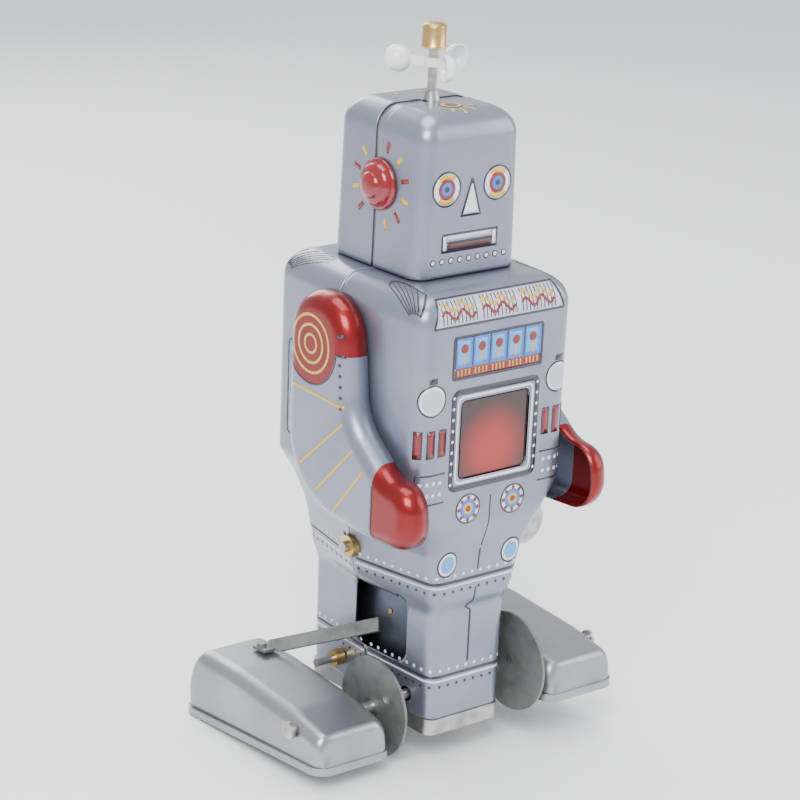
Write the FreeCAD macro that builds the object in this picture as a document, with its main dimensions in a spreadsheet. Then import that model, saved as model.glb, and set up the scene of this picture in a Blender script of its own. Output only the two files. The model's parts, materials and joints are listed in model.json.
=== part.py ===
import FreeCAD, Part
import math
import os
import re

import Sketcher
from FreeCAD import Rotation, Vector

os.makedirs("parts", exist_ok=True)
doc = FreeCAD.newDocument("tin_robot")

# Wind-up tin robot: pressed shells round a spring motor that walks the feet on crank discs.
# Millimetres.  +Z is up, the robot faces -Y and its own right hand is on the -X side.
# The origin is the centre of the underside of the base tray.

# ---------------------------------------------------------------- driving dimensions
driving = {
    # tin plate
    "tin": 0.5,                 # thickness of the pressed shells
    "seam_gap": 0.1,            # each half stops this far short of the seam plane
    "fit_gap": 0.05,            # radial clearance of every running shaft
    "free_gap": 0.8,            # clearance round pieces that pass through a wall
    # body shell
    "tray_height": 4.6,
    "tray_floor": 1.0,
    "leg_top": 37.4,
    "hip_low": 41.0,
    "hip_top": 56.0,
    "waist": 65.0,
    "chest_low": 73.0,
    "chest_top": 125.0,
    "shoulder_rise": 8.0,
    "leg_half_width": 13.1,     # at the front and rear corners
    "leg_seam_width": 14.6,     # at the side seam
    "hip_half_width": 16.2,
    "hip_seam_width": 21.7,
    "chest_half_width": 26.6,
    "chest_seam_width": 29.4,
    "leg_half_depth": 28.0,
    "hip_half_depth": 30.2,
    "chest_half_depth": 34.2,
    "corner_radius": 4.0,
    "window_half_width": 12.0,
    "window_rise": 6.7,         # above the start of the straight chest
    "window_height": 22.3,
    "window_corner": 1.6,
    "pane_margin": 2.0,
    "pane_thickness": 0.4,
    # head
    "neck_gap": 0.0,
    "head_side_height": 37.6,
    "head_height": 45.0,
    "head_half_width": 18.5,
    "head_half_depth": 19.3,
    "head_corner": 4.5,
    "head_gap": 0.6,            # the two halves of the head stay this far from the seam plane
    "neck_radius": 7.0,
    "ear_rise": 23.5,
    "ear_seat": 18.15,         # where the ear's flat base touches the narrowing head
    "ear_radius": 7.3,
    "ear_boss_radius": 4.0,
    "ear_reach": 4.6,
    # antenna
    "stem_radius": 1.3,
    "stem_reach": 20.6,
    "ferrule_radius": 2.4,
    "ferrule_height": 2.4,
    "rotor_rise": 10.5,
    "rotor_reach": 10.0,
    "rotor_hub_radius": 2.6,
    "cup_radius": 3.9,
    "cup_wall": 0.5,
    "cap_radius": 3.5,
    "cap_height": 7.1,
    # arms
    "arm_reach": 7.6,
    "arm_round": 5.0,
    "arm_back": 13.4,
    "arm_front": -12.2,
    "arm_lift": 2.6,            # top of the arm above the top of the straight chest
    "arm_height": 64.6,
    "shoulder_radius": 12.6,
    "elbow_radius": 24.0,
    "wrist_y": -22.0,
    "hand_tip": -43.0,
    "hand_height": 19.2,
    "hand_radius": 8.6,
    # walking gear
    "axle_y": -17.9,
    "axle_z": 9.8,
    "axle_radius": 1.5,
    "crank_throw": 7.28,
    "crank_angle": 37.2,        # right crank below the rearward horizontal, left one opposite
    "disc_radius": 14.8,
    "disc_thickness": 0.8,
    "disc_inner_x": 20.0,
    "pin_radius": 1.6,
    "pin_head_radius": 2.5,
    "pin_head_height": 1.0,
    "foot_inner_x": 24.5,
    "foot_width": 25.0,
    "foot_front": 12.9,         # ahead of its pin
    "foot_rear": 54.0,          # behind its pin
    "foot_height": 20.4,        # above the underside of the sole, at the heel
    "toe_height": 11.0,
    "foot_round": 4.4,
    "foot_pitch": 4.5,
    "bar_foot_x": 31.5,
    "bar_foot_y": 36.0,         # behind the pin
    "sole_height": 2.2,
    "sole_margin": 0.7,
    "sole_floor": 0.8,
    "bar_width": 4.3,
    "bar_thickness": 0.8,
    "bar_rivet_radius": 1.5,
    "bar_slot_side": 3.5,      # half of what the slanting bar takes up along Y at the leg wall
    "bar_wall_y": 0.0,         # the bar at the leg wall, right side
    "bar_wall_z": 24.2,
    "bar_end_x": 12.6,
    "rod_y": 12.0,
    "rod_z": 10.5,
    "rod_radius": 1.3,
    "rod_reach": 23.6,
    "bush_radius": 2.5,
    "bush_reach": 3.0,
    # spring motor
    "plate_inner_x": 9.0,
    "plate_thickness": 1.0,
    "plate_front": -24.5,
    "plate_rear": 23.0,
    "plate_over_wheel": 5.2,   # how far the plates rise above the spark wheel
    "pillar_radius": 1.5,
    "tenon_radius": 0.9,
    "key_arbor_y": 0.0,
    "key_arbor_z": 51.0,
    "key_arbor_radius": 1.6,
    "arbor_bush_radius": 3.2,
    "arbor_bush_reach": 1.6,    # how far the bush stands out of the hip
    "spring_hub_radius": 3.0,
    "spring_outer": 12.6,
    "spring_strip": 0.35,
    "spring_turns": 7.0,
    "spring_width": 6.0,
    "gear_module": 0.8,
    "great_teeth": 42,
    "second_pinion_teeth": 12,
    "second_teeth": 46,
    "drive_pinion_teeth": 14,
    "third_pinion_teeth": 12,
    "third_teeth": 36,
    "spark_pinion_teeth": 12,
    "arbor_radius": 1.2,
    "pivot_radius": 0.8,
    "spark_y": -17.0,
    "spark_wheel_radius": 7.5,
    "spark_wheel_width": 2.0,
    "ratchet_radius": 6.0,
    "ratchet_teeth": 12,
    # key
    "key_start_x": 27.5,
    "key_shank": 9.0,
    "key_wing_radius": 7.0,
    "key_wing_offset": 5.6,
    "key_thickness": 1.4,
    "key_hole_radius": 1.6,
}

value = dict(driving)
value["tray_top"] = value["tray_height"]
value["body_top"] = value["chest_top"] + value["shoulder_rise"]
value["window_low"] = value["chest_low"] + value["window_rise"]
value["window_high"] = value["window_low"] + value["window_height"]
value["head_low"] = value["body_top"] + value["neck_gap"]
value["head_side_top"] = value["head_low"] + value["head_side_height"]
value["head_top"] = value["head_low"] + value["head_height"]
value["ear_height"] = value["head_low"] + value["ear_rise"]
value["stem_top"] = value["head_top"] + value["stem_reach"]
value["rotor_height"] = value["head_top"] + value["rotor_rise"]
value["arm_top"] = value["chest_top"] + value["arm_lift"]
value["arm_low"] = value["arm_top"] - value["arm_height"]
value["hand_top"] = value["arm_low"] + value["hand_height"]
value["plate_low"] = value["tray_floor"]
crank = math.radians(value["crank_angle"])
value["crank_dy"] = value["crank_throw"] * math.cos(crank)
value["crank_dz"] = value["crank_throw"] * math.sin(crank)
for side, sign in (("right", 1.0), ("left", -1.0)):
    value[side + "_pin_y"] = value["axle_y"] + sign * value["crank_dy"]
    value[side + "_pin_z"] = value["axle_z"] - sign * value["crank_dz"]
value["disc_outer_x"] = value["disc_inner_x"] + value["disc_thickness"]
pitch = math.radians(value["foot_pitch"])
heel_reach = value["foot_rear"] + value["sole_margin"]
value["sole_drop"] = (value["disc_radius"] - heel_reach * math.sin(pitch)) / math.cos(pitch)
value["foot_outer_x"] = value["foot_inner_x"] + value["foot_width"]
value["plate_outer_x"] = value["plate_inner_x"] + value["plate_thickness"]


def pitch_radius(teeth):
    return value["gear_module"] * value[teeth] / 2.0


def third_corner(first, second, from_first, from_second, side):
    """Corner of a triangle on two known corners and two known sides."""
    base = math.dist(first, second)
    along = (from_first ** 2 - from_second ** 2 + base ** 2) / (2.0 * base)
    off = side * math.sqrt(from_first ** 2 - along ** 2)
    step = ((second[0] - first[0]) / base, (second[1] - first[1]) / base)
    return (first[0] + along * step[0] - off * step[1],
            first[1] + along * step[1] + off * step[0])


key_arbor = (value["key_arbor_y"], value["key_arbor_z"])
drive_axle_centre = (value["axle_y"], value["axle_z"])
second_arbor = third_corner(key_arbor, drive_axle_centre,
                            pitch_radius("great_teeth") + pitch_radius("second_pinion_teeth"),
                            pitch_radius("second_teeth") + pitch_radius("drive_pinion_teeth"), 1)
great_to_third = pitch_radius("great_teeth") + pitch_radius("third_pinion_teeth")
third_to_spark = pitch_radius("third_teeth") + pitch_radius("spark_pinion_teeth")
train_slack = 0.2              # the three upper arbors stand this far from one straight line
key_to_spark = great_to_third + third_to_spark - train_slack
spark_arbor = (value["spark_y"],
               key_arbor[1] + math.sqrt(key_to_spark ** 2 - (value["spark_y"] - key_arbor[0]) ** 2))
third_arbor = third_corner(key_arbor, spark_arbor, great_to_third, third_to_spark, 1)
for name, centre in (("second", second_arbor), ("third", third_arbor), ("spark", spark_arbor)):
    value[name + "_arbor_y"] = centre[0]
    value[name + "_arbor_z"] = centre[1]
value["plate_high"] = value["spark_arbor_z"] + value["spark_wheel_radius"] + value["plate_over_wheel"]

sheet = doc.addObject("Spreadsheet::Sheet", "Dims")
for row, (name, number) in enumerate(value.items(), start=1):
    sheet.set("A%d" % row, name)
    sheet.set("B%d" % row, repr(round(float(number), 6)))
    sheet.setAlias("B%d" % row, name)
doc.recompute()


def size(name):
    return float(sheet.get(name))


def bind(thing, prop, formula):
    """Bind one property to a formula written with the sheet's names."""
    full = re.sub(r"[a-z_]+[a-z_0-9]*",
                  lambda word: "Dims." + word.group(0) if word.group(0) in value else word.group(0),
                  formula)
    thing.setExpression(prop, full)


# ---------------------------------------------------------------- building blocks
parts = []
TURN_TO_X = Rotation(Vector(0, 1, 0), 90)


def keep(thing, label):
    thing.Label = label
    parts.append(thing)
    return thing


def feature(label, shape):
    thing = doc.addObject("Part::Feature", label)
    thing.Shape = shape
    thing.Placement = FreeCAD.Placement(Vector(0, 0, 0), Rotation())
    return keep(thing, label)


def primitive(kind, name, sizes, place, rotation=None):
    """A Part primitive with its sizes and its corner or centre bound to the sheet."""
    thing = doc.addObject("Part::" + kind, name)
    thing.Placement = FreeCAD.Placement(Vector(0, 0, 0), rotation or Rotation())
    for prop, formula in sizes.items():
        bind(thing, prop, formula)
    for axis, formula in zip("xyz", place):
        bind(thing, "Placement.Base." + axis, formula)
    return thing


def rod(name, radius, start, length, y, z):
    """Cylinder along +X from x = start."""
    return primitive("Cylinder", name, {"Radius": radius, "Height": length},
                     (start, y, z), TURN_TO_X)


def post(name, radius, x, y, start, length):
    """Cylinder along +Z from z = start."""
    return primitive("Cylinder", name, {"Radius": radius, "Height": length}, (x, y, start))


def block(name, x, y, z, length, width, height):
    return primitive("Box", name, {"Length": length, "Width": width, "Height": height}, (x, y, z))


def fuse(label, pieces):
    thing = doc.addObject("Part::MultiFuse", label)
    thing.Shapes = pieces
    thing.Refine = True
    return keep(thing, label)


def group(label, pieces):
    thing = doc.addObject("Part::Compound", label)
    thing.Links = pieces
    return keep(thing, label)


def cut(label, base, tool, wanted=True):
    thing = doc.addObject("Part::Cut", label)
    thing.Base = base
    thing.Tool = tool
    return keep(thing, label) if wanted else thing


def origin_plane(body, role):
    return next(item for item in body.Origin.OriginFeatures if item.Role == role)


def new_sketch(body, name, role, offset="0"):
    sketch = body.newObject("Sketcher::SketchObject", name)
    sketch.AttachmentSupport = [(origin_plane(body, role), "")]
    sketch.MapMode = "FlatFace"
    bind(sketch, "AttachmentOffset.Base.z", offset)
    return sketch


def constrain(sketch, kind, *items, formula=None):
    index = sketch.addConstraint(Sketcher.Constraint(kind, *items))
    if formula is not None:
        bind(sketch, "Constraints[%d]" % index, formula)
    return index


def draw_circle(sketch, radius, across, up):
    """Circle with its radius and centre bound; the guess comes from the sheet too."""
    index = sketch.addGeometry(Part.Circle(Vector(1, 1, 0), Vector(0, 0, 1), 1))
    constrain(sketch, "Radius", index, 1.0, formula=radius)
    constrain(sketch, "DistanceX", -1, 1, index, 3, 1.0, formula=across)
    constrain(sketch, "DistanceY", -1, 1, index, 3, 1.0, formula=up)


def draw_rectangle(sketch, left, right, low, high):
    corners = [Vector(0, 0, 0), Vector(2, 0, 0), Vector(2, 2, 0), Vector(0, 2, 0)]
    lines = [sketch.addGeometry(Part.LineSegment(corners[i], corners[(i + 1) % 4]))
             for i in range(4)]
    for i in range(4):
        constrain(sketch, "Coincident", lines[i], 2, lines[(i + 1) % 4], 1)
        constrain(sketch, "Vertical" if i % 2 else "Horizontal", lines[i])
    constrain(sketch, "DistanceX", -1, 1, lines[0], 1, 1.0, formula=left)
    constrain(sketch, "DistanceY", -1, 1, lines[0], 1, 1.0, formula=low)
    constrain(sketch, "DistanceX", -1, 1, lines[2], 1, 1.0, formula=right)
    constrain(sketch, "DistanceY", -1, 1, lines[2], 1, 1.0, formula=high)


def pad(body, name, sketch, length):
    thing = body.newObject("PartDesign::Pad", name)
    thing.Profile = sketch
    bind(thing, "Length", length)
    body.Tip = thing
    return thing


def pocket(body, name, sketch, length, reverse=False):
    thing = body.newObject("PartDesign::Pocket", name)
    thing.Profile = sketch
    thing.Reversed = reverse
    bind(thing, "Length", length)
    body.Tip = thing
    return thing


def round_uprights(body, name, base, radius):
    """Fillet on every vertical edge of one feature of a body."""
    doc.recompute()
    upright = ["Edge%d" % (i + 1) for i, edge in enumerate(base.Shape.Edges)
               if abs(edge.tangentAt(edge.FirstParameter).z) > 0.99]
    thing = body.newObject("PartDesign::Fillet", name)
    thing.Base = (base, upright)
    bind(thing, "Radius", radius)
    body.Tip = thing
    doc.recompute()


def rounded_face(corners):
    """Flat face in the YZ plane: straight runs joined by tangent arcs, one (y, z, radius) a corner."""
    stops = []
    for i, (y, z, radius) in enumerate(corners):
        here = Vector(0, y, z)
        before = Vector(0, *corners[i - 1][:2])
        after = Vector(0, *corners[(i + 1) % len(corners)][:2])
        back, ahead = (before - here).normalize(), (after - here).normalize()
        if radius <= 0:
            stops.append((here, None, here))
            continue
        opening = back.getAngle(ahead)
        reach = radius / math.tan(opening / 2.0)
        middle = (back + ahead).normalize()
        centre = here + middle * (radius / math.sin(opening / 2.0))
        stops.append((here + back * reach, centre - middle * radius, here + ahead * reach))
    edges = []
    for i, (begin, middle, end) in enumerate(stops):
        if middle is not None:
            edges.append(Part.Arc(begin, middle, end).toShape())
        edges.append(Part.makeLine(end, stops[(i + 1) % len(stops)][0]))
    return Part.Face(Part.Wire(edges))


# ---------------------------------------------------------------- pressed shells
def shell_section(z, seam_width, corner_width, depth, radius, face, past_seam):
    """Half outline at one height: seam, flank, rounded corner, face, and back to the other seam.

    face is -1 for a front half and +1 for a rear half; past_seam carries the outline over the
    seam plane, for a cutting tool.
    """
    seam = Vector(seam_width, 0, z)
    corner = Vector(corner_width, face * depth, z)
    middle = Vector(0, face * depth, z)
    toward_seam = (seam - corner).normalize()
    toward_middle = (middle - corner).normalize()
    opening = toward_seam.getAngle(toward_middle)
    tangent = radius / math.tan(opening / 2.0)
    bisector = (toward_seam + toward_middle).normalize()
    centre = corner + bisector * (radius / math.sin(opening / 2.0))
    on_flank = corner + toward_seam * tangent
    on_face = corner + toward_middle * tangent
    on_arc = centre - bisector * radius
    mirror = lambda point: Vector(-point.x, point.y, point.z)
    edges = [Part.makeLine(seam, on_flank),
             Part.Arc(on_flank, on_arc, on_face).toShape(),
             Part.makeLine(on_face, mirror(on_face)),
             Part.Arc(mirror(on_face), mirror(on_arc), mirror(on_flank)).toShape(),
             Part.makeLine(mirror(on_flank), mirror(seam))]
    if past_seam:
        over = Vector(seam_width, -face * past_seam, z)
        edges += [Part.makeLine(mirror(seam), mirror(over)),
                  Part.makeLine(mirror(over), over),
                  Part.makeLine(over, seam)]
    else:
        edges.append(Part.makeLine(mirror(seam), seam))
    return Part.Wire(edges)


def half_solid(levels, face, inset=0.0, past_seam=0.0):
    """Ruled loft; each level is (z, seam width, corner width, front depth, rear depth, radius)."""
    wires = [shell_section(z, seam - inset, corner - inset, (front if face < 0 else rear) - inset,
                           max(radius - inset, 0.4), face, past_seam)
             for z, seam, corner, front, rear, radius in levels]
    return Part.makeLoft(wires, True, True)


def half_shell(levels, face, gap, open_below=True, open_above=False):
    """A pressed half: the outer loft less a smaller one, kept short of the seam plane by gap."""
    tin = size("tin")
    inner = [list(level) for level in levels]
    if open_below:
        inner[0][0] -= 1.0
    else:
        inner[0][0] += tin
    inner[-1][0] += 1.0 if open_above else -tin
    solid = half_solid(levels, face).cut(half_solid(inner, face, tin, 3.0))
    reach = 100.0
    seam_slab = Part.makeBox(2 * reach, 2 * gap, 3 * reach, Vector(-reach, -gap, -10))
    return solid.cut(seam_slab)


# the body from the tray up: height, width at the seam, width at the corners, depths, corner radius
shoulder_steps = ((0.34, 0.5), (0.64, 1.7), (0.86, 3.8), (1.0, 7.2))   # share of the rise, set-back
knee_rise = 3.0
chest_spread = 0.1             # the chest is this much wider at the top, each side
body_levels = [
    (size("tray_top"), size("leg_seam_width"), size("leg_half_width"),
     size("leg_half_depth"), size("leg_half_depth") - 0.2, size("corner_radius") - 0.5),
    (size("leg_top"), size("leg_seam_width") + 0.4, size("leg_half_width") + 0.4,
     size("leg_half_depth") + 0.1, size("leg_half_depth"), size("corner_radius") - 0.5),
    (size("hip_low"), size("hip_seam_width") - 2.8, size("hip_half_width") - 1.8,
     size("hip_half_depth") - 0.5, size("hip_half_depth") - 1.2, size("corner_radius")),
    (size("hip_low") + knee_rise, size("hip_seam_width") - 1.2, size("hip_half_width") - 1.4,
     size("hip_half_depth") - 0.2, size("hip_half_depth") - 1.0, size("corner_radius")),
    (size("key_arbor_z"), size("hip_seam_width"), size("hip_half_width"),
     size("hip_half_depth") + 0.3, size("hip_half_depth") - 0.5, size("corner_radius")),
    (size("hip_top"), size("hip_seam_width") + 0.9, size("hip_half_width") + 1.0,
     size("hip_half_depth") + 0.8, size("hip_half_depth"), size("corner_radius")),
    (size("waist"), size("chest_seam_width") - 3.4, size("hip_half_width") + 4.4,
     size("chest_half_depth"), size("chest_half_depth") - 2.2, size("corner_radius") + 0.5),
    (size("chest_low"), size("chest_seam_width"), size("chest_half_width"),
     size("chest_half_depth"), size("chest_half_depth") - 2.2, size("corner_radius") + 1.0),
    (size("chest_top"), size("chest_seam_width") + chest_spread, size("chest_half_width") + 0.4,
     size("chest_half_depth"), size("chest_half_depth") - 2.2, size("corner_radius") + 1.0),
]
for share, set_back in shoulder_steps:
    body_levels.append((size("chest_top") + share * size("shoulder_rise"),
                        size("chest_seam_width") + chest_spread - set_back,
                        size("chest_half_width") + 0.4 - set_back,
                        size("chest_half_depth") - set_back,
                        size("chest_half_depth") - 2.2 - set_back, size("corner_radius") + 1.0))


def hole_along_x(radius, y, z, reach=60.0):
    return Part.makeCylinder(radius, 2 * reach, Vector(-reach, y, z), Vector(1, 0, 0))


def rounded_box(x0, x1, y0, y1, z0, z1, radius, axis):
    """Box whose four edges along one axis are rounded."""
    box = Part.makeBox(x1 - x0, y1 - y0, z1 - z0, Vector(x0, y0, z0))
    along = [edge for edge in box.Edges
             if abs(abs(edge.tangentAt(edge.FirstParameter).dot(axis)) - 1.0) < 1e-6]
    return box.makeFillet(radius, along)


bar_half = size("crank_throw") + size("bar_width") / 2.0 + size("free_gap")
bar_centre_z = size("bar_wall_z") + size("crank_dz")
bar_centre_y = size("bar_wall_y") - size("crank_dy")
front_shell = half_shell(body_levels, -1, size("seam_gap"))
window = rounded_box(-size("window_half_width"), size("window_half_width"),
                     -size("chest_half_depth") - 2, -size("chest_half_depth") + 3,
                     size("window_low"), size("window_high"), size("window_corner"),
                     Vector(0, 1, 0))
bar_reach_y = size("crank_throw") + size("bar_slot_side") + size("free_gap")
bar_window = rounded_box(-40, 40, bar_centre_y - bar_reach_y, bar_centre_y + bar_reach_y,
                         bar_centre_z - bar_half, bar_centre_z + bar_half, 4.5, Vector(1, 0, 0))
axle_way = hole_along_x(size("axle_radius") + size("free_gap"), size("axle_y"), size("axle_z"))
arbor_way = hole_along_x(size("arbor_bush_radius"), size("key_arbor_y"), size("key_arbor_z"))
front_shell = front_shell.cut(window).cut(bar_window).cut(axle_way).cut(arbor_way)
feature("front_shell", front_shell)

back_shell = half_shell(body_levels, 1, size("seam_gap"))
rod_way = hole_along_x(size("rod_radius"), size("rod_y"), size("rod_z"))
feature("back_shell", back_shell.cut(rod_way).cut(arbor_way).cut(bar_window))

# ---------------------------------------------------------------- base tray
tray = doc.addObject("PartDesign::Body", "base_tray")
tray_outline = new_sketch(tray, "tray_outline", "XY_Plane")
draw_rectangle(tray_outline, "-leg_half_width - 0.3", "leg_half_width + 0.3",
               "-leg_half_depth - 0.1", "leg_half_depth + 0.1")
tray_pad = pad(tray, "tray_block", tray_outline, "tray_height")
round_uprights(tray, "tray_round", tray_pad, "corner_radius - 1")
tray_hollow = new_sketch(tray, "tray_hollow", "XY_Plane", "tray_top")
draw_rectangle(tray_hollow, "-leg_half_width + 0.8", "leg_half_width - 0.8",
               "-leg_half_depth + 1", "leg_half_depth - 1")
pocket(tray, "tray_pocket", tray_hollow, "tray_height - tray_floor")
keep(tray, "base_tray")

# ---------------------------------------------------------------- window pane
block("pane_sheet", "-window_half_width - pane_margin",
      "-chest_half_depth + tin + fit_gap", "window_low - pane_margin",
      "2 * window_half_width + 2 * pane_margin", "pane_thickness",
      "window_high - window_low + 2 * pane_margin")
keep(doc.getObject("pane_sheet"), "window_pane")

# ---------------------------------------------------------------- head
head_rise = size("head_top") - size("head_side_top")
head_narrowing = 0.9           # the head is this much narrower at the top, each side
head_steps = ((0.0, 0.0), (0.38, 0.6), (0.70, 2.2), (0.92, 4.9), (1.0, 7.4))
head_levels = [(size("head_low"), size("head_half_width"), size("head_half_width") - 0.4,
                size("head_half_depth"), size("head_half_depth"), size("head_corner"))]
for share, set_back in head_steps:
    head_levels.append((size("head_side_top") + share * head_rise,
                        size("head_half_width") - head_narrowing - set_back,
                        size("head_half_width") - 0.4 - head_narrowing - set_back,
                        size("head_half_depth") - set_back,
                        size("head_half_depth") - set_back, size("head_corner")))
stem_way = Part.makeCylinder(size("stem_radius") + size("fit_gap"), 40,
                             Vector(0, 0, size("head_top") - 20))
for label, face in (("head_front", -1), ("head_back", 1)):
    feature(label, half_shell(head_levels, face, size("head_gap")).cut(stem_way))

neck_outer = post("neck_outer", "neck_radius", "0", "0", "body_top", "head_low - body_top + 3")
neck_inner = post("neck_inner", "neck_radius - 1", "0", "0", "body_top - 1", "head_low - body_top + 5")
cut("neck_collar", neck_outer, neck_inner)

for side, sign in (("right", -1), ("left", 1)):
    ear_base = primitive("Cone", side + "_ear_base",
                         {"Radius1": "ear_radius", "Radius2": "ear_radius - 1.6",
                          "Height": "ear_reach - 1.4"},
                         ("%d * ear_seat" % sign, "-1.5", "ear_height"),
                         Rotation(Vector(0, 1, 0), 90 * sign))
    ear_boss = primitive("Cone", side + "_ear_boss",
                         {"Radius1": "ear_boss_radius", "Radius2": "ear_boss_radius - 0.8",
                          "Height": "1.4"},
                         ("%d * (ear_seat + ear_reach - 1.4)" % sign, "-1.5",
                          "ear_height"),
                         Rotation(Vector(0, 1, 0), 90 * sign))
    fuse(side + "_ear", [ear_base, ear_boss])

# ---------------------------------------------------------------- antenna
stem_low = size("head_top") - 6.0
feature("antenna_stem", Part.makeCylinder(size("stem_radius"), size("stem_top") - stem_low,
                                          Vector(0, 0, stem_low)))
ferrule_dome = primitive("Cone", "ferrule_dome",
                         {"Radius1": "ferrule_radius", "Radius2": "ferrule_radius - 0.6",
                          "Height": "ferrule_height"}, ("0", "0", "head_top"))
ferrule_way = post("ferrule_way", "stem_radius", "0", "0", "head_top - 1", "ferrule_height + 2")
cut("antenna_ferrule", ferrule_dome, ferrule_way)
cap_body = post("cap_body", "cap_radius", "0", "0", "stem_top - cap_height + 0.8", "cap_height")
cap_way = post("cap_way", "stem_radius", "0", "0", "stem_top - cap_height - 1", "cap_height + 1")
cut("antenna_cap", cap_body, cap_way)


def wind_cup(angle):
    """Hollow half-ball on a flat arm, its mouth facing along the way it turns."""
    radius, wall, reach = size("cup_radius"), size("cup_wall"), size("rotor_reach")
    centre = Vector(reach, 0, size("rotor_height"))
    ball = Part.makeSphere(radius, centre).cut(Part.makeSphere(radius - wall, centre))
    half_space = Part.makeBox(30, 15, 30, Vector(reach - 15, -15, size("rotor_height") - 15))
    arm = Part.makeBox(reach - radius + wall / 2, 0.6, 2.4,
                       Vector(0, 0, size("rotor_height") - 1.2))
    cup = ball.cut(half_space).fuse(arm)
    cup.rotate(Vector(0, 0, 0), Vector(0, 0, 1), angle)
    return cup


rotor = Part.makeCylinder(size("rotor_hub_radius"), 2.4, Vector(0, 0, size("rotor_height") - 1.2))
first_cup = 127.0
for step in range(3):
    rotor = rotor.fuse(wind_cup(first_cup + 120.0 * step))
rotor = rotor.cut(Part.makeCylinder(size("stem_radius") + size("fit_gap"), 20,
                                    Vector(0, 0, size("rotor_height") - 10)))
feature("wind_rotor", rotor.removeSplitter())


# ---------------------------------------------------------------- arms
def domed_slab(face, reach, rounding, outward):
    """Face pushed out along X with its far edge rounded."""
    slab = face.extrude(Vector(outward * reach, 0, 0))
    far = [edge for edge in slab.Edges
           if all(abs(vertex.X - outward * reach) < 1e-6 for vertex in edge.Vertexes)]
    return slab.makeFillet(rounding, far)


def arm_solid(outward, shrink, reach, rounding):
    """Bent arm: shoulder, elbow and hand as one rounded outline in the YZ plane."""
    back = size("arm_back") - shrink
    front = size("arm_front") + shrink
    low = size("arm_low") + shrink
    top = size("arm_top") - shrink
    palm = size("hand_top") - shrink
    tip = size("hand_tip") + shrink
    wrist = size("wrist_y")
    slab = rounded_face([
        (back, top, size("shoulder_radius") - shrink),
        (back + 0.4, low + 3.0, size("elbow_radius") - shrink),
        (wrist, low, 40.0),
        (tip - 1.5, low + 1.6, size("hand_radius") - shrink),
        (tip + 0.5, palm, size("hand_radius") - 1.0 - shrink),
        (wrist - 9.0, palm + 1.2, 12.0),
        (front - 3.6, palm + 13.0, 16.0),
        (front, top, size("shoulder_radius") - shrink)])
    return domed_slab(slab, reach, rounding, outward)


arm_x = size("chest_seam_width") + chest_spread
for side, sign in (("right", -1), ("left", 1)):
    outer = arm_solid(sign, 0.0, size("arm_reach"), size("arm_round"))
    inner = arm_solid(sign, size("tin"), size("arm_reach") - size("tin"),
                      size("arm_round") - size("tin"))
    inner.translate(Vector(-sign * 0.01, 0, 0))
    arm = feature(side + "_arm", outer.cut(inner))
    arm.Placement = FreeCAD.Placement(Vector(sign * arm_x, 0, 0), Rotation())

# ---------------------------------------------------------------- walking gear
rod("axle_bar", "axle_radius", "-disc_outer_x", "2 * disc_outer_x", "axle_y", "axle_z")
keep(doc.getObject("axle_bar"), "drive_axle")

for side, sign in (("right", -1), ("left", 1)):
    disc = doc.addObject("PartDesign::Body", side + "_crank_disc")
    outline = new_sketch(disc, side + "_disc_outline", "YZ_Plane",
                         "disc_inner_x" if sign > 0 else "-disc_outer_x")
    draw_circle(outline, "disc_radius", side + "_pin_y", side + "_pin_z")
    draw_circle(outline, "axle_radius", "axle_y", "axle_z")
    draw_circle(outline, "pin_radius", side + "_pin_y", side + "_pin_z")
    pad(disc, side + "_disc_plate", outline, "disc_thickness")
    keep(disc, side + "_crank_disc")

    start = "disc_inner_x" if sign > 0 else "-foot_outer_x - fit_gap - 0.6"
    pin_shank = rod(side + "_pin_shank", "pin_radius", start,
                    "foot_outer_x + fit_gap + 0.6 - disc_inner_x", side + "_pin_y", side + "_pin_z")
    head_start = ("foot_outer_x + fit_gap + 0.6" if sign > 0
                  else "-foot_outer_x - fit_gap - 0.6 - pin_head_height")
    pin_head = rod(side + "_pin_head", "pin_head_radius", head_start, "pin_head_height",
                   side + "_pin_y", side + "_pin_z")
    collar_start = "disc_outer_x" if sign > 0 else "-disc_outer_x - 1"
    pin_collar = rod(side + "_pin_collar", "pin_head_radius", collar_start, "1",
                     side + "_pin_y", side + "_pin_z")
    fuse(side + "_foot_pin", [pin_shank, pin_head, pin_collar])

def foot_place(side):
    """The foot is drawn round its pin with a level sole, then tipped toe up."""
    return FreeCAD.Placement(Vector(0, size(side + "_pin_y"), size(side + "_pin_z")),
                             Rotation(Vector(1, 0, 0), -size("foot_pitch")))


def foot_solid(sign, inset):
    """Wedge: low rounded toe, top rising to the heel, all upper edges rounded."""
    low = -size("sole_drop") + size("sole_height") - (1.0 if inset else 0.0)
    heel = -size("sole_drop") + size("foot_height") - inset
    toe = -size("sole_drop") + size("toe_height") - inset
    front = -size("foot_front") + inset
    rear = size("foot_rear") - inset
    side_view = rounded_face([
        (front, low, 0),
        (front + 1.4, toe, size("foot_round") + 0.6 - inset),
        (front + 15.0, toe + 0.40 * (heel - toe), 30.0),
        (rear - 24.0, heel - 1.4, 60.0),
        (rear - 6.0, heel, 12.0 - inset),
        (rear - 0.6, low + 6.0, size("foot_round") + 3.0 - inset),
        (rear, low, 0)])
    width = size("foot_width") - 2 * inset
    slab = side_view.extrude(Vector(width, 0, 0))
    slab.translate(Vector(size("foot_inner_x") + inset, 0, 0))
    flanks = [edge for edge in slab.Edges
              if abs(edge.Vertexes[0].X - edge.Vertexes[-1].X) < 1e-6
              and max(vertex.Z for vertex in edge.Vertexes) > low + 1e-6]
    slab = slab.makeFillet(size("foot_round") - inset, flanks)
    return slab.mirror(Vector(0, 0, 0), Vector(1, 0, 0)) if sign < 0 else slab


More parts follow.
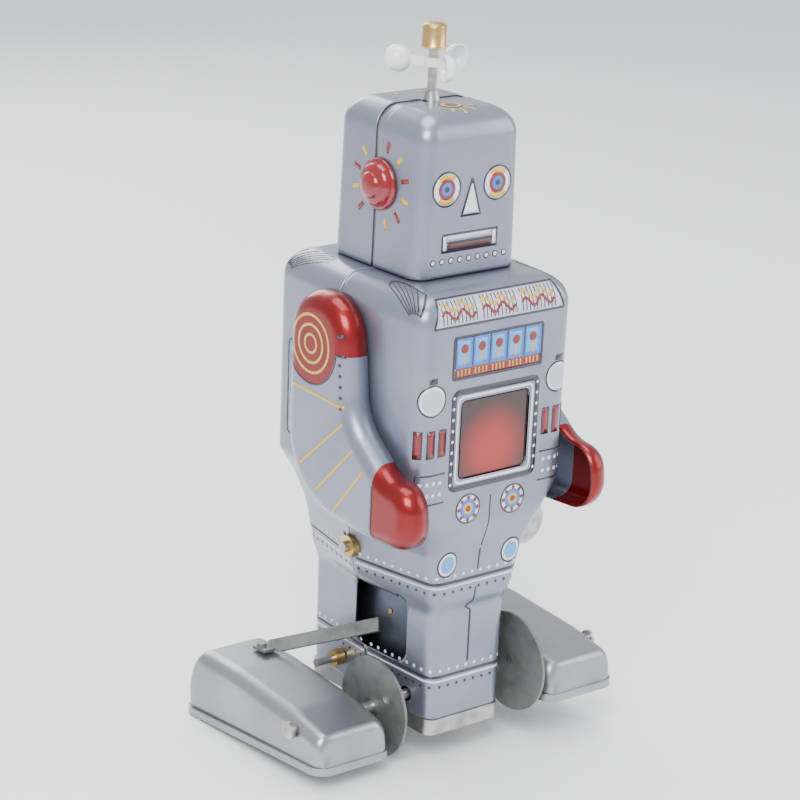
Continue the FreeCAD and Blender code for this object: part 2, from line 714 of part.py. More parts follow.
def foot_cover(sign):
    cover = foot_solid(sign, 0.0).cut(foot_solid(sign, size("tin")))
    bore = size("pin_radius") + size("fit_gap")
    span = size("foot_width") + 4
    start = size("foot_inner_x") - 2 if sign > 0 else -size("foot_outer_x") - 2
    slot_low = -size("sole_drop") + size("sole_height") - 1
    slot = Part.makeBox(span, 2 * bore, -slot_low, Vector(start, -bore, slot_low))
    slot = slot.fuse(Part.makeCylinder(bore, span, Vector(start, 0, 0), Vector(1, 0, 0)))
    return cover.cut(slot)


def foot_bar(sign):
    """Flat strip riveted to the top of the cover that leads up into the leg."""
    turn = Rotation(Vector(1, 0, 0), size("foot_pitch"))
    pin = Vector(0, size("right_pin_y"), size("right_pin_z"))
    wall = turn.multVec(Vector(-size("leg_seam_width"), size("bar_wall_y"), size("bar_wall_z")) - pin)
    top = -size("sole_drop") + size("foot_height") - 0.15
    foot_end = Vector(-size("bar_foot_x"), size("bar_foot_y"), top + 0.5)
    along = wall - foot_end
    along = along * ((-size("bar_end_x") - foot_end.x) / along.x)
    length = along.Length
    along.normalize()
    face_out = Vector(-0.2, -0.72, 0.66)
    face_out = (face_out - along * face_out.dot(along)).normalize()
    across = face_out.cross(along)
    half, thick = size("bar_width") / 2, size("bar_thickness") / 2
    corners = [foot_end + across * (a * half) + face_out * (b * thick)
               for a, b in ((-1, -1), (1, -1), (1, 1), (-1, 1))]
    strip = Part.Face(Part.makePolygon(corners + corners[:1])).extrude(along * length)
    tab = Part.makeBox(5.6, 6.0, size("bar_thickness"),
                       Vector(foot_end.x - 3.4, foot_end.y - 2.6, top))
    rivet = Part.makeCylinder(size("bar_rivet_radius"), 1.0,
                              Vector(foot_end.x - 1.4, foot_end.y + 1.6, top + size("bar_thickness")))
    bar = strip.fuse(tab).cut(foot_solid(-1, 0.0)).cut(rivet)
    below = Part.makeBox(60, 60, 20, Vector(foot_end.x - 20, foot_end.y - 20, top - 20))
    bar = bar.cut(below)
    if sign > 0:
        bar = bar.mirror(Vector(0, 0, 0), Vector(1, 0, 0))
        rivet = rivet.mirror(Vector(0, 0, 0), Vector(1, 0, 0))
    return bar, rivet


for side, sign in (("right", -1), ("left", 1)):
    cover = feature(side + "_foot_cover", foot_cover(sign))
    bar_shape, rivet_shape = foot_bar(sign)
    bar = feature(side + "_foot_bar", bar_shape)
    rivet = feature(side + "_bar_rivet", rivet_shape)
    for thing in (cover, bar, rivet):
        thing.Placement = foot_place(side)

    sole = doc.addObject("PartDesign::Body", side + "_foot_sole")
    sole.Placement = foot_place(side)
    bind(sole, "Placement.Base.y", side + "_pin_y")
    bind(sole, "Placement.Base.z", side + "_pin_z")
    x_low = "foot_inner_x - sole_margin" if sign > 0 else "-foot_outer_x - sole_margin"
    x_high = "foot_outer_x + sole_margin" if sign > 0 else "-foot_inner_x + sole_margin"
    outline = new_sketch(sole, side + "_sole_outline", "XY_Plane", "-sole_drop")
    draw_rectangle(outline, x_low, x_high, "-foot_front - sole_margin", "foot_rear + sole_margin")
    sole_pad = pad(sole, side + "_sole_plate", outline, "sole_height")
    round_uprights(sole, side + "_sole_round", sole_pad, "foot_round + sole_margin")
    hollow = new_sketch(sole, side + "_sole_hollow", "XY_Plane", "-sole_drop + sole_height")
    draw_rectangle(hollow, x_low + " + 1.6", x_high + " - 1.6", "-foot_front - sole_margin + 1.6",
                   "foot_rear + sole_margin - 1.6")
    pocket(sole, side + "_sole_pocket", hollow, "sole_height - sole_floor")
    keep(sole, side + "_foot_sole")

rod("guide_bar", "rod_radius", "-rod_reach", "2 * rod_reach", "rod_y", "rod_z")
keep(doc.getObject("guide_bar"), "guide_rod")
bush_rings = []
for side, start in (("right", "-leg_seam_width - bush_reach"), ("left", "leg_seam_width")):
    ring = rod(side + "_bush_ring", "bush_radius", start, "bush_reach", "rod_y", "rod_z")
    way = rod(side + "_bush_way", "rod_radius", start + " - 1", "bush_reach + 2", "rod_y", "rod_z")
    bush_rings.append(cut(side + "_bush", ring, way, wanted=False))
group("guide_bushes", bush_rings)


# ---------------------------------------------------------------- gears
def gear(teeth, first_tooth, width, x, y, z, bore):
    """Spur gear along X with straight-flanked teeth and toy-sized backlash."""
    module = size("gear_module")
    radius = module * teeth / 2.0
    pitch = 2.0 * math.pi / teeth
    tip, root = radius + 0.80 * module, radius - 1.05 * module
    half_tip, half_pitch, half_root = 0.085 * pitch, 0.185 * pitch, 0.27 * pitch
    points = []
    for tooth in range(teeth):
        middle = first_tooth + tooth * pitch
        for r, turn in ((root, -half_root), (radius, -half_pitch), (tip, -half_tip),
                        (tip, half_tip), (radius, half_pitch), (root, half_root)):
            points.append(Vector(x, y + r * math.cos(middle + turn), z + r * math.sin(middle + turn)))
    blank = Part.Face(Part.makePolygon(points + points[:1])).extrude(Vector(width, 0, 0))
    return blank.cut(Part.makeCylinder(bore, width + 2, Vector(x - 1, y, z), Vector(1, 0, 0)))


def heading(first, second):
    return math.atan2(second[1] - first[1], second[0] - first[0])


def matching_tooth(driver_tooth, driver_teeth, driven_teeth, direction):
    """First tooth of the driven gear so that a gap faces the driver's tooth."""
    offset = driver_tooth - direction
    return direction + math.pi - offset * driver_teeth / driven_teeth + math.pi / driven_teeth


def shaft(radius, x0, x1, centre):
    return Part.makeCylinder(radius, x1 - x0, Vector(x0, centre[0], centre[1]), Vector(1, 0, 0))


def stepped_arbor(centre):
    """Arbor with thinner pivots that run in the two motor plates."""
    inner, outer = size("plate_inner_x"), size("plate_outer_x")
    end_play = 0.15
    return shaft(size("arbor_radius"), -inner + end_play, inner - end_play, centre).fuse(
        shaft(size("pivot_radius"), -outer - 0.3, outer + 0.3, centre))


teeth = {name: int(size(name + "_teeth")) for name in
         ("great", "second_pinion", "second", "drive_pinion", "third_pinion", "third", "spark_pinion")}
to_second = heading(key_arbor, second_arbor)
to_third = heading(key_arbor, third_arbor)
to_axle = heading(second_arbor, drive_axle_centre)
to_spark = heading(third_arbor, spark_arbor)
great_first = to_second
# each gear's first face along X, and its width
wheel_width, pinion_width = 1.2, 2.2
great_x, ratchet_x, second_x, third_x = 2.6, 1.2, -0.8, 5.2
pinion_lead = (pinion_width - wheel_width) / 2.0

great = gear(teeth["great"], great_first, wheel_width, great_x, *key_arbor,
             size("key_arbor_radius") + size("fit_gap"))
feature("great_wheel", great)

second_pinion = gear(teeth["second_pinion"],
                     matching_tooth(great_first, teeth["great"], teeth["second_pinion"], to_second),
                     pinion_width, great_x - pinion_lead, *second_arbor, size("arbor_radius"))
second_wheel = gear(teeth["second"], to_axle, wheel_width, second_x, *second_arbor,
                    size("arbor_radius"))
feature("second_wheel", stepped_arbor(second_arbor).fuse([second_pinion, second_wheel]))

drive_pinion = gear(teeth["drive_pinion"],
                    matching_tooth(to_axle, teeth["second"], teeth["drive_pinion"], to_axle),
                    pinion_width, second_x - pinion_lead, *drive_axle_centre, size("axle_radius"))
feature("drive_pinion", drive_pinion)

third_pinion = gear(teeth["third_pinion"],
                    matching_tooth(great_first, teeth["great"], teeth["third_pinion"], to_third),
                    pinion_width, great_x - pinion_lead, *third_arbor, size("arbor_radius"))
third_wheel = gear(teeth["third"], to_spark, wheel_width, third_x, *third_arbor,
                   size("arbor_radius"))
feature("third_wheel", stepped_arbor(third_arbor).fuse([third_pinion, third_wheel]))

spark_pinion = gear(teeth["spark_pinion"],
                    matching_tooth(to_spark, teeth["third"], teeth["spark_pinion"], to_spark),
                    pinion_width, third_x - pinion_lead, *spark_arbor, size("arbor_radius"))
feature("spark_arbor", stepped_arbor(spark_arbor).fuse(spark_pinion))
wheel_x = -size("spark_wheel_width")
feature("spark_wheel", shaft(size("spark_wheel_radius"), wheel_x, 0.0, spark_arbor).cut(
    shaft(size("arbor_radius"), wheel_x - 1, 1.0, spark_arbor)))

# ---------------------------------------------------------------- winding arbor, ratchet and click
hub_x0, hub_x1 = -7.9, -1.7
arbor_left_end = size("key_start_x") + 1.0
arbor_right_end = size("hip_seam_width") + 3.2
arbor = shaft(size("key_arbor_radius"), -arbor_right_end, arbor_left_end, key_arbor).fuse(
    shaft(size("spring_hub_radius"), hub_x0, hub_x1, key_arbor))
feature("winding_arbor", arbor)

ratchet_points = []
ratchet_step = 2.0 * math.pi / size("ratchet_teeth")
tooth_depth = 1.4
for tooth in range(int(size("ratchet_teeth"))):
    turn = tooth * ratchet_step
    for r in (size("ratchet_radius") - tooth_depth, size("ratchet_radius")):
        ratchet_points.append(Vector(ratchet_x, key_arbor[0] + r * math.cos(turn),
                                     key_arbor[1] + r * math.sin(turn)))
ratchet = Part.Face(Part.makePolygon(ratchet_points + ratchet_points[:1])).extrude(Vector(1.0, 0, 0))
feature("ratchet_wheel", ratchet.cut(shaft(size("key_arbor_radius"), ratchet_x - 1, ratchet_x + 2,
                                           key_arbor)))
click_gap = 0.15
click_turn = 3 * ratchet_step
tip_radius = size("ratchet_radius") + click_gap
click_outline = []
for r, turn in ((tip_radius, click_turn - 0.05),
                (size("ratchet_radius") + 3.0, click_turn - 0.55),
                (size("ratchet_radius") + 3.6, click_turn - 0.30),
                (tip_radius + 0.9, click_turn - 0.05)):
    click_outline.append(Vector(ratchet_x + 0.1, key_arbor[0] + r * math.cos(turn),
                                key_arbor[1] + r * math.sin(turn)))
click = Part.Face(Part.makePolygon(click_outline + click_outline[:1])).extrude(Vector(0.9, 0, 0))
click_pivot = (key_arbor[0] + (size("ratchet_radius") + 3.2) * math.cos(click_turn - 0.42),
               key_arbor[1] + (size("ratchet_radius") + 3.2) * math.sin(click_turn - 0.42))
feature("ratchet_click", click.fuse(shaft(1.0, ratchet_x + 0.1, great_x, click_pivot)))


def spiral_strip():
    """Archimedean spiral band from the hub out to its anchor."""
    inner = size("spring_hub_radius") + 0.15
    outer, strip = size("spring_outer"), size("spring_strip")
    steps = int(size("spring_turns") * 24)
    near, far = [], []
    for step in range(steps + 1):
        share = step / steps
        turn = 2.0 * math.pi * size("spring_turns") * share
        r = inner + (outer - inner - strip) * share
        for points, radius in ((near, r), (far, r + strip)):
            points.append(Vector(hub_x0 + 0.1, key_arbor[0] + radius * math.cos(turn),
                                 key_arbor[1] + radius * math.sin(turn)))
    outline = near + far[::-1]
    return Part.Face(Part.makePolygon(outline + outline[:1])).extrude(
        Vector(size("spring_width"), 0, 0))


feature("mainspring", spiral_strip())

# ---------------------------------------------------------------- key
key_body = doc.addObject("PartDesign::Body", "key_wings")
key_outline = new_sketch(key_body, "key_outline", "XZ_Plane", "-key_thickness / 2")
wing_x = "key_start_x + key_shank + key_wing_radius"
draw_circle(key_outline, "key_wing_radius", wing_x, "key_arbor_z + key_wing_offset")
pad(key_body, "key_wing_high", key_outline, "key_thickness")
low_outline = new_sketch(key_body, "key_low_outline", "XZ_Plane", "-key_thickness / 2")
draw_circle(low_outline, "key_wing_radius", wing_x, "key_arbor_z - key_wing_offset")
pad(key_body, "key_wing_low", low_outline, "key_thickness")
holes = new_sketch(key_body, "key_holes", "XZ_Plane", "-key_thickness")
draw_circle(holes, "key_hole_radius", wing_x, "key_arbor_z + key_wing_offset + 1.5")
draw_circle(holes, "key_hole_radius", wing_x, "key_arbor_z - key_wing_offset - 1.5")
pocket(key_body, "key_hole_cut", holes, "3 * key_thickness", reverse=True)
doc.recompute()
key_shank = rod("key_shank_round", "key_arbor_radius + 1.1", "key_start_x",
                "key_shank + 3", "key_arbor_y", "key_arbor_z")
key_socket = rod("key_socket", "key_arbor_radius", "key_start_x - 1", "2", "key_arbor_y",
                 "key_arbor_z")
key_tube = cut("key_tube", key_shank, key_socket, wanted=False)
fuse("winding_key", [key_tube, key_body])

bush_pieces = []
bush_length = "arbor_bush_reach + 2"
for side, start in (("right", "-hip_seam_width - arbor_bush_reach"), ("left", "hip_seam_width - 2")):
    ring = rod(side + "_arbor_ring", "arbor_bush_radius", start, bush_length, "key_arbor_y",
               "key_arbor_z")
    way = rod(side + "_arbor_way", "key_arbor_radius + fit_gap", start + " - 1",
              bush_length + " + 2", "key_arbor_y", "key_arbor_z")
    bush_pieces.append(cut(side + "_arbor_bush", ring, way, wanted=False))
group("arbor_bushes", bush_pieces)

# ---------------------------------------------------------------- motor frame
for side, start in (("right", "-plate_outer_x"), ("left", "plate_inner_x")):
    plate = doc.addObject("PartDesign::Body", side + "_motor_plate")
    outline = new_sketch(plate, side + "_plate_outline", "YZ_Plane", start)
    draw_rectangle(outline, "plate_front", "plate_rear", "plate_low", "plate_high")
    pad(plate, side + "_plate_sheet", outline, "plate_thickness")
    holes = new_sketch(plate, side + "_plate_holes", "YZ_Plane", start + " - 1")
    draw_circle(holes, "axle_radius + fit_gap", "axle_y", "axle_z")
    draw_circle(holes, "key_arbor_radius + fit_gap", "key_arbor_y", "key_arbor_z")
    for arbor_name in ("second", "third", "spark"):
        draw_circle(holes, "pivot_radius + fit_gap", arbor_name + "_arbor_y",
                    arbor_name + "_arbor_z")
    draw_circle(holes, "rod_radius", "rod_y", "rod_z")
    pocket(plate, side + "_plate_bores", holes, "plate_thickness + 2", reverse=True)
    keep(plate, side + "_motor_plate")

# four pillars, each inside the edge of the plates
pillar_places = (("plate_rear - 4", "plate_low + 22"), ("plate_rear - 3", "key_arbor_z + 3"),
                 ("plate_rear - 11", "plate_high - 4"), ("plate_front + 2", "key_arbor_z - 1.5"))
pillars = [rod("pillar_%d" % i, "pillar_radius", "-plate_inner_x", "2 * plate_inner_x", y, z)
           for i, (y, z) in enumerate(pillar_places)]
group("frame_pillars", pillars)

# ---------------------------------------------------------------- sparking flint
flint_gap = 0.1
flint_z = spark_arbor[1] + size("spark_wheel_radius") + flint_gap
flint_size = (2.0, 2.6, 2.2)
feature("flint", Part.makeBox(*flint_size, Vector(wheel_x, spark_arbor[0] - 1.3, flint_z)))
leaf_top = flint_z + flint_size[2]
leaf = Part.makeBox(2.0, 17.0, 0.4, Vector(wheel_x, spark_arbor[0] - 1.3, leaf_top))
leaf_foot = Part.makeBox(2.0 + size("plate_inner_x") - 2.0, 3.0, 0.4,
                         Vector(-size("plate_inner_x"), spark_arbor[0] + 12.7, leaf_top))
feature("flint_spring", leaf.fuse(leaf_foot))

# ---------------------------------------------------------------- checks and files
doc.recompute()
for thing in doc.Objects:
    troubles = [state for state in thing.State if state in ("Invalid", "Error")]
    if troubles:
        raise RuntimeError("%s: %s" % (thing.Label, troubles))
for thing in parts:
    if thing.Shape.isNull() or not thing.Shape.isValid():
        raise RuntimeError("%s has no valid shape" % thing.Label)
    thing.Shape.exportStep("parts/%s.step" % thing.Label)
    box = thing.Shape.BoundBox
    print("%-20s solids %d  volume %9.1f  x %6.1f %6.1f  y %6.1f %6.1f  z %6.1f %6.1f" % (
        thing.Label, len(thing.Shape.Solids), thing.Shape.Volume,
        box.XMin, box.XMax, box.YMin, box.YMax, box.ZMin, box.ZMax))
print(len(parts), "parts")
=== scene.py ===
import json
import math

import bmesh
import bpy
import numpy as np
from mathutils import Matrix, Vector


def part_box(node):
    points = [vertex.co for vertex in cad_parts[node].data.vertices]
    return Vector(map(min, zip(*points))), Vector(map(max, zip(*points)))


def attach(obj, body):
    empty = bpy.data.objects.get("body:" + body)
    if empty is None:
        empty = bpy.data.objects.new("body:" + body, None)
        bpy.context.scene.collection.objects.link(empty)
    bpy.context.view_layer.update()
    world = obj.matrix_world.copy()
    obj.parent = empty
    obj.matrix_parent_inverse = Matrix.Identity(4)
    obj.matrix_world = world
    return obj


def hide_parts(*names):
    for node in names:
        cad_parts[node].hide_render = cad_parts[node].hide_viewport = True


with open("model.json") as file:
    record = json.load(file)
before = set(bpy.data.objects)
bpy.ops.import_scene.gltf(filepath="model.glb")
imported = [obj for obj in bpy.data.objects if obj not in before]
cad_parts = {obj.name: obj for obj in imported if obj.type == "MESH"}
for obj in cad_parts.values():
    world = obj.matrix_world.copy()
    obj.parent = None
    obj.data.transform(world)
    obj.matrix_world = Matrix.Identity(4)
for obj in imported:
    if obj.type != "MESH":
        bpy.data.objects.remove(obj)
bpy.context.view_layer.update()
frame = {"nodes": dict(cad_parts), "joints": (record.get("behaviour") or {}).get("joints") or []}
mm = 0.001
print("stage: frame loaded with", len(frame["nodes"]), "nodes")


def boxOf(node):  # lowest and highest corner of a CAD node, in millimetres
    low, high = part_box(node)
    return np.array(low) / mm, np.array(high) / mm


def jointPlace(name):  # a joint's point in millimetres
    found = [joint for joint in frame["joints"] if joint["name"] == name][0]
    return np.array(found["pos_m"]) / mm


# camera: turned round a target, then rolled about its own axis
cameraSet = {"azimuth": -39.04, "elevation": 18.26, "roll": 2.61, "distance": 770.37,
             "target": (-6.2, 0.0, 91.9), "lens": 122.4}
turn = math.radians(cameraSet["azimuth"])
rise = math.radians(cameraSet["elevation"])
roll = math.radians(cameraSet["roll"])
back = np.array([math.sin(turn) * math.cos(rise), -math.cos(turn) * math.cos(rise), math.sin(rise)])
levelRight = np.array([math.cos(turn), math.sin(turn), 0.0])
levelUp = np.cross(back, levelRight)
rightward = levelRight * math.cos(roll) + levelUp * math.sin(roll)
upward = np.cross(back, rightward)
cameraData = bpy.data.cameras.new("camera")
cameraData.lens = cameraSet["lens"]
cameraData.clip_start = 0.01
camera = bpy.data.objects.new("camera", cameraData)
bpy.context.scene.collection.objects.link(camera)
place = (np.array(cameraSet["target"]) + back * cameraSet["distance"]) * mm
pose = np.eye(4)
pose[:3, 0], pose[:3, 1], pose[:3, 2], pose[:3, 3] = rightward, upward, back, place
camera.matrix_world = Matrix(pose.tolist())
bpy.context.scene.camera = camera


# materials
def addNode(tree, kind, x, y, **values):
    node = tree.nodes.new(kind)
    node.location = (x, y)
    for key, value in values.items():
        setattr(node, key, value)
    return node


def makeAgeGroup():
    # soft blotches and fine hairline scratches that shift a colour and a roughness
    group = bpy.data.node_groups.new("surfaceAge", "ShaderNodeTree")
    sockets = (("Clean", "NodeSocketColor"), ("Stained", "NodeSocketColor"),
               ("Blotch Scale", "NodeSocketFloat"), ("Blotch Amount", "NodeSocketFloat"),
               ("Smooth", "NodeSocketFloat"), ("Rough", "NodeSocketFloat"))
    for name, kind in sockets:
        group.interface.new_socket(name, in_out="INPUT", socket_type=kind)
    for name, kind in (("Color", "NodeSocketColor"), ("Roughness", "NodeSocketFloat"),
                       ("Height", "NodeSocketFloat")):
        group.interface.new_socket(name, in_out="OUTPUT", socket_type=kind)
    entry = addNode(group, "NodeGroupInput", -900, 0)
    leave = addNode(group, "NodeGroupOutput", 700, 0)
    place = addNode(group, "ShaderNodeTexCoord", -900, 300)
    blotch = addNode(group, "ShaderNodeTexNoise", -600, 200)
    blotch.inputs["Detail"].default_value = 5.0
    contrast = addNode(group, "ShaderNodeMapRange", -380, 200)
    contrast.inputs["From Min"].default_value = 0.42
    contrast.inputs["From Max"].default_value = 0.72
    amount = addNode(group, "ShaderNodeMath", -160, 200, operation="MULTIPLY")
    stretch = addNode(group, "ShaderNodeMapping", -600, -200)
    stretch.inputs["Scale"].default_value = (9000, 9000, 380)
    hair = addNode(group, "ShaderNodeTexNoise", -380, -200)
    hair.inputs["Scale"].default_value = 1.0
    hair.inputs["Detail"].default_value = 2.0
    tint = addNode(group, "ShaderNodeMix", 120, 200, data_type="RGBA")
    rough = addNode(group, "ShaderNodeMix", 120, -60, data_type="FLOAT")
    both = addNode(group, "ShaderNodeMath", -120, -120, operation="MULTIPLY_ADD", use_clamp=True)
    both.inputs[1].default_value = 0.55
    link = group.links.new
    link(place.outputs["Object"], blotch.inputs["Vector"])
    link(entry.outputs["Blotch Scale"], blotch.inputs["Scale"])
    link(blotch.outputs[0], contrast.inputs["Value"])
    link(contrast.outputs["Result"], amount.inputs[0])
    link(entry.outputs["Blotch Amount"], amount.inputs[1])
    link(place.outputs["Object"], stretch.inputs["Vector"])
    link(stretch.outputs[0], hair.inputs["Vector"])
    link(hair.outputs[0], both.inputs[0])
    link(amount.outputs[0], both.inputs[2])
    link(amount.outputs[0], tint.inputs["Factor"])
    link(entry.outputs["Clean"], tint.inputs["A"])
    link(entry.outputs["Stained"], tint.inputs["B"])
    link(both.outputs[0], rough.inputs["Factor"])
    link(entry.outputs["Smooth"], rough.inputs["A"])
    link(entry.outputs["Rough"], rough.inputs["B"])
    link(tint.outputs["Result"], leave.inputs["Color"])
    link(rough.outputs["Result"], leave.inputs["Roughness"])
    link(hair.outputs[0], leave.inputs["Height"])
    return group


ageGroup = makeAgeGroup()

# clean colour, stained colour, blotch scale and amount, roughness low and high, metallic, coat, bump
finishes = {
    "lithoTin": ((0.245, 0.265, 0.345), (0.185, 0.20, 0.27), 60, 0.5, 0.28, 0.46, 0.72, 0.5, 0.04),
    "redEnamel": ((0.22, 0.002, 0.003), (0.15, 0.001, 0.002), 70, 0.5, 0.12, 0.24, 0.05, 0.7, 0.0),
    "brightTin": ((0.34, 0.35, 0.385), (0.24, 0.25, 0.27), 55, 0.6, 0.24, 0.46, 0.85, 0.2, 0.06),
    "zincSteel": ((0.24, 0.26, 0.25), (0.11, 0.12, 0.11), 160, 0.8, 0.42, 0.66, 0.75, 0.0, 0.12),
    "steel": ((0.50, 0.50, 0.50), (0.22, 0.20, 0.17), 240, 0.7, 0.22, 0.46, 0.95, 0.0, 0.08),
    "brass": ((0.72, 0.50, 0.18), (0.30, 0.18, 0.06), 180, 0.8, 0.20, 0.42, 0.95, 0.0, 0.08),
    "bluedSteel": ((0.12, 0.14, 0.19), (0.07, 0.07, 0.08), 150, 0.6, 0.28, 0.46, 0.95, 0.0, 0.05),
    "whiteEnamel": ((0.80, 0.81, 0.84), (0.58, 0.60, 0.64), 160, 0.4, 0.16, 0.34, 0.0, 0.6, 0.0),
    "flintStone": ((0.10, 0.10, 0.11), (0.04, 0.04, 0.04), 500, 0.8, 0.60, 0.85, 0.1, 0.0, 0.3),
    "inkBlack": ((0.012, 0.013, 0.030), (0.03, 0.03, 0.05), 90, 0.5, 0.25, 0.42, 0.1, 0.5, 0.0),
    "inkWhite": ((0.72, 0.74, 0.80), (0.58, 0.60, 0.66), 90, 0.4, 0.25, 0.42, 0.1, 0.5, 0.0),
    "inkBlue": ((0.02, 0.15, 0.55), (0.03, 0.18, 0.60), 90, 0.4, 0.25, 0.42, 0.1, 0.5, 0.0),
    "inkSky": ((0.09, 0.32, 0.66), (0.12, 0.38, 0.72), 90, 0.4, 0.25, 0.42, 0.1, 0.5, 0.0),
    "inkRed": ((0.20, 0.004, 0.006), (0.25, 0.006, 0.01), 90, 0.4, 0.25, 0.42, 0.1, 0.5, 0.0),
    "inkYellow": ((0.60, 0.38, 0.03), (0.68, 0.42, 0.04), 90, 0.4, 0.25, 0.42, 0.1, 0.5, 0.0),
    "inkPale": ((0.50, 0.53, 0.63), (0.42, 0.45, 0.55), 90, 0.4, 0.30, 0.45, 0.3, 0.5, 0.0),
    "inkBrown": ((0.055, 0.012, 0.010), (0.03, 0.008, 0.008), 90, 0.4, 0.30, 0.45, 0.1, 0.5, 0.0),
    # inner face of the shells: bare tin coloured near black, painted shade for the dark inside seen through
    # gaps and openings
    "innerTinPaintedShade": ((0.10, 0.10, 0.11), (0.05, 0.05, 0.05), 120, 0.6, 0.45, 0.65, 0.6, 0.0, 0.0),
}


def makeFinish(name, paintName=None):
    clean, stained, scale, amount, low, high, metallic, coat, bump = finishes[name]
    material = bpy.data.materials.new(paintName or name)
    material.use_nodes = True
    tree = material.node_tree
    shader = tree.nodes["Principled BSDF"]
    age = addNode(tree, "ShaderNodeGroup", -400, 200, node_tree=ageGroup)
    age.inputs["Clean"].default_value = (*clean, 1)
    age.inputs["Stained"].default_value = (*stained, 1)
    age.inputs["Blotch Scale"].default_value = scale
    age.inputs["Blotch Amount"].default_value = amount
    age.inputs["Smooth"].default_value = low
    age.inputs["Rough"].default_value = high
    tree.links.new(age.outputs["Color"], shader.inputs["Base Color"])
    tree.links.new(age.outputs["Roughness"], shader.inputs["Roughness"])
    shader.inputs["Metallic"].default_value = metallic
    shader.inputs["Coat Weight"].default_value = coat
    shader.inputs["Coat Roughness"].default_value = 0.12
    if bump:
        dent = addNode(tree, "ShaderNodeBump", -200, -200)
        dent.inputs["Strength"].default_value = bump
        dent.inputs["Distance"].default_value = 0.0001
        tree.links.new(age.outputs["Height"], dent.inputs["Height"])
        tree.links.new(dent.outputs["Normal"], shader.inputs["Normal"])
    return material


materials = {name: makeFinish(name) for name in finishes}
print("stage: materials made")


# mesh helpers: every shape is a grid of rows and columns, in millimetres
def gridFaces(rows, columns, start=0):
    index = np.arange(rows * columns).reshape(rows, columns) + start
    return np.stack([index[:-1, :-1], index[:-1, 1:], index[1:, 1:], index[1:, :-1]], -1).reshape(-1, 4)


def makePiece(name, points, faces, material, body, replaced=(), inside=None, thickness=0.0,
              offset=-1.0, faceInks=None):
    mesh = bpy.data.meshes.new(name)
    mesh.from_pydata((np.asarray(points) * mm).tolist(), [], np.asarray(faces).tolist())
    if faceInks is not None:
        mesh.polygons.foreach_set("material_index", np.asarray(faceInks, dtype=np.int32))
    work = bmesh.new()
    work.from_mesh(mesh)
    bmesh.ops.remove_doubles(work, verts=work.verts, dist=2e-7)
    bmesh.ops.dissolve_degenerate(work, edges=work.edges, dist=1e-7)
    if inside is None:
        bmesh.ops.recalc_face_normals(work, faces=work.faces)
    work.to_mesh(mesh)
    work.free()
    if inside is not None:
        count = len(mesh.polygons)
        centres, normals, areas = np.zeros(count * 3), np.zeros(count * 3), np.zeros(count)
        mesh.polygons.foreach_get("center", centres)
        mesh.polygons.foreach_get("normal", normals)
        mesh.polygons.foreach_get("area", areas)
        outward = centres.reshape(-1, 3) - np.asarray(inside) * mm
        if (np.einsum("ij,ij->i", outward, normals.reshape(-1, 3)) * areas).sum() < 0:
            mesh.flip_normals()
    mesh.shade_smooth()
    mesh.set_sharp_from_angle(angle=math.radians(50))
    piece = bpy.data.objects.new(name, mesh)
    bpy.context.scene.collection.objects.link(piece)
    for one in (material if isinstance(material, (list, tuple)) else [material]):
        mesh.materials.append(materials[one] if isinstance(one, str) else one)
    if thickness:
        wall = piece.modifiers.new("wall", "SOLIDIFY")
        wall.thickness = thickness * mm
        wall.offset = offset
    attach(piece, body)
    if replaced:
        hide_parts(*replaced)
    return piece


# the sheet that body and head are pressed from
# One half's outline at a height runs from the middle of its face (a = 0) along the face, round the
# corner arc and along the flank to the seam.  h is the height up the wall, then the distance over
# the rounded shoulder and in across the top.
def outlineRuns(seam, corner, depth, radius):
    flank = np.hypot(seam - corner, depth) + 1e-9
    opening = np.arccos(np.clip(-(seam - corner) / flank, -1, 1))
    tangent = radius / np.tan(opening / 2)
    arc = math.pi - opening
    return corner - tangent, radius * arc, flank - tangent, flank, arc


def outlinePoint(a, seam, corner, depth, radius):
    faceRun, arcRun, flankRun, flank, arc = outlineRuns(seam, corner, depth, radius)
    side, run = np.where(a < 0, -1.0, 1.0), np.abs(a)
    swing = np.clip((run - faceRun) / np.maximum(radius, 1e-9), 0, arc)
    x = np.minimum(run, faceRun) + radius * np.sin(swing)
    y = depth - radius * (1 - np.cos(swing))
    past = np.maximum(run - faceRun - arcRun, 0)
    return side * (x + past * (seam - corner) / flank), y - past * depth / flank


def levelTable(walls, shoulder, blur):
    # the levels joined every half millimetre and smoothed, so each crease is a pressed bend; above
    # them a quarter round (height = shoulder * sin, inset = shoulder * (1 - cos)) and a flat top
    walls = np.array(walls, float)
    z = np.arange(walls[0, 0], walls[-1, 0] + 0.01, 0.5)
    sizes = np.stack([np.interp(z, walls[:, 0], walls[:, i]) for i in range(1, 5)], 1)
    padded = np.pad(sizes, ((blur, blur), (0, 0)), mode="reflect", reflect_type="odd")
    kernel = np.hanning(2 * blur + 1)
    kernel /= kernel.sum()
    sizes = np.stack([np.convolve(padded[:, i], kernel, "valid") for i in range(4)], 1)
    swing = np.linspace(0, math.pi / 2, 15)[1:]
    inset = shoulder * (1 - np.cos(swing))
    edge = sizes[-1] - np.outer(inset, (1, 1, 1, 0.25))
    shrink = np.linspace(1, 0, 22)[1:]
    top = np.outer(shrink, edge[-1])
    height = np.concatenate([z, z[-1] + shoulder * np.sin(swing), np.full(len(shrink), z[-1] + shoulder)])
    h = np.concatenate([z, z[-1] + shoulder * swing,
                        z[-1] + shoulder * math.pi / 2 + (1 - shrink) * edge[-1, 2]])
    return {"h": h, "z": height, "sizes": np.concatenate([sizes, edge, top])}


def sheetPoint(table, face, a, h):
    seam, corner, depth, radius = [np.interp(h, table["h"], table["sizes"][:, i]) for i in range(4)]
    x, y = outlinePoint(a, seam, corner, depth, radius)
    return np.stack([x, face * y, np.interp(h, table["h"], table["z"])], -1)


def halfRun(table, h):  # length of the outline from the middle to the seam
    sizes = [np.interp(h, table["h"], table["sizes"][:, i]) for i in range(4)]
    return sum(outlineRuns(*sizes)[:3])


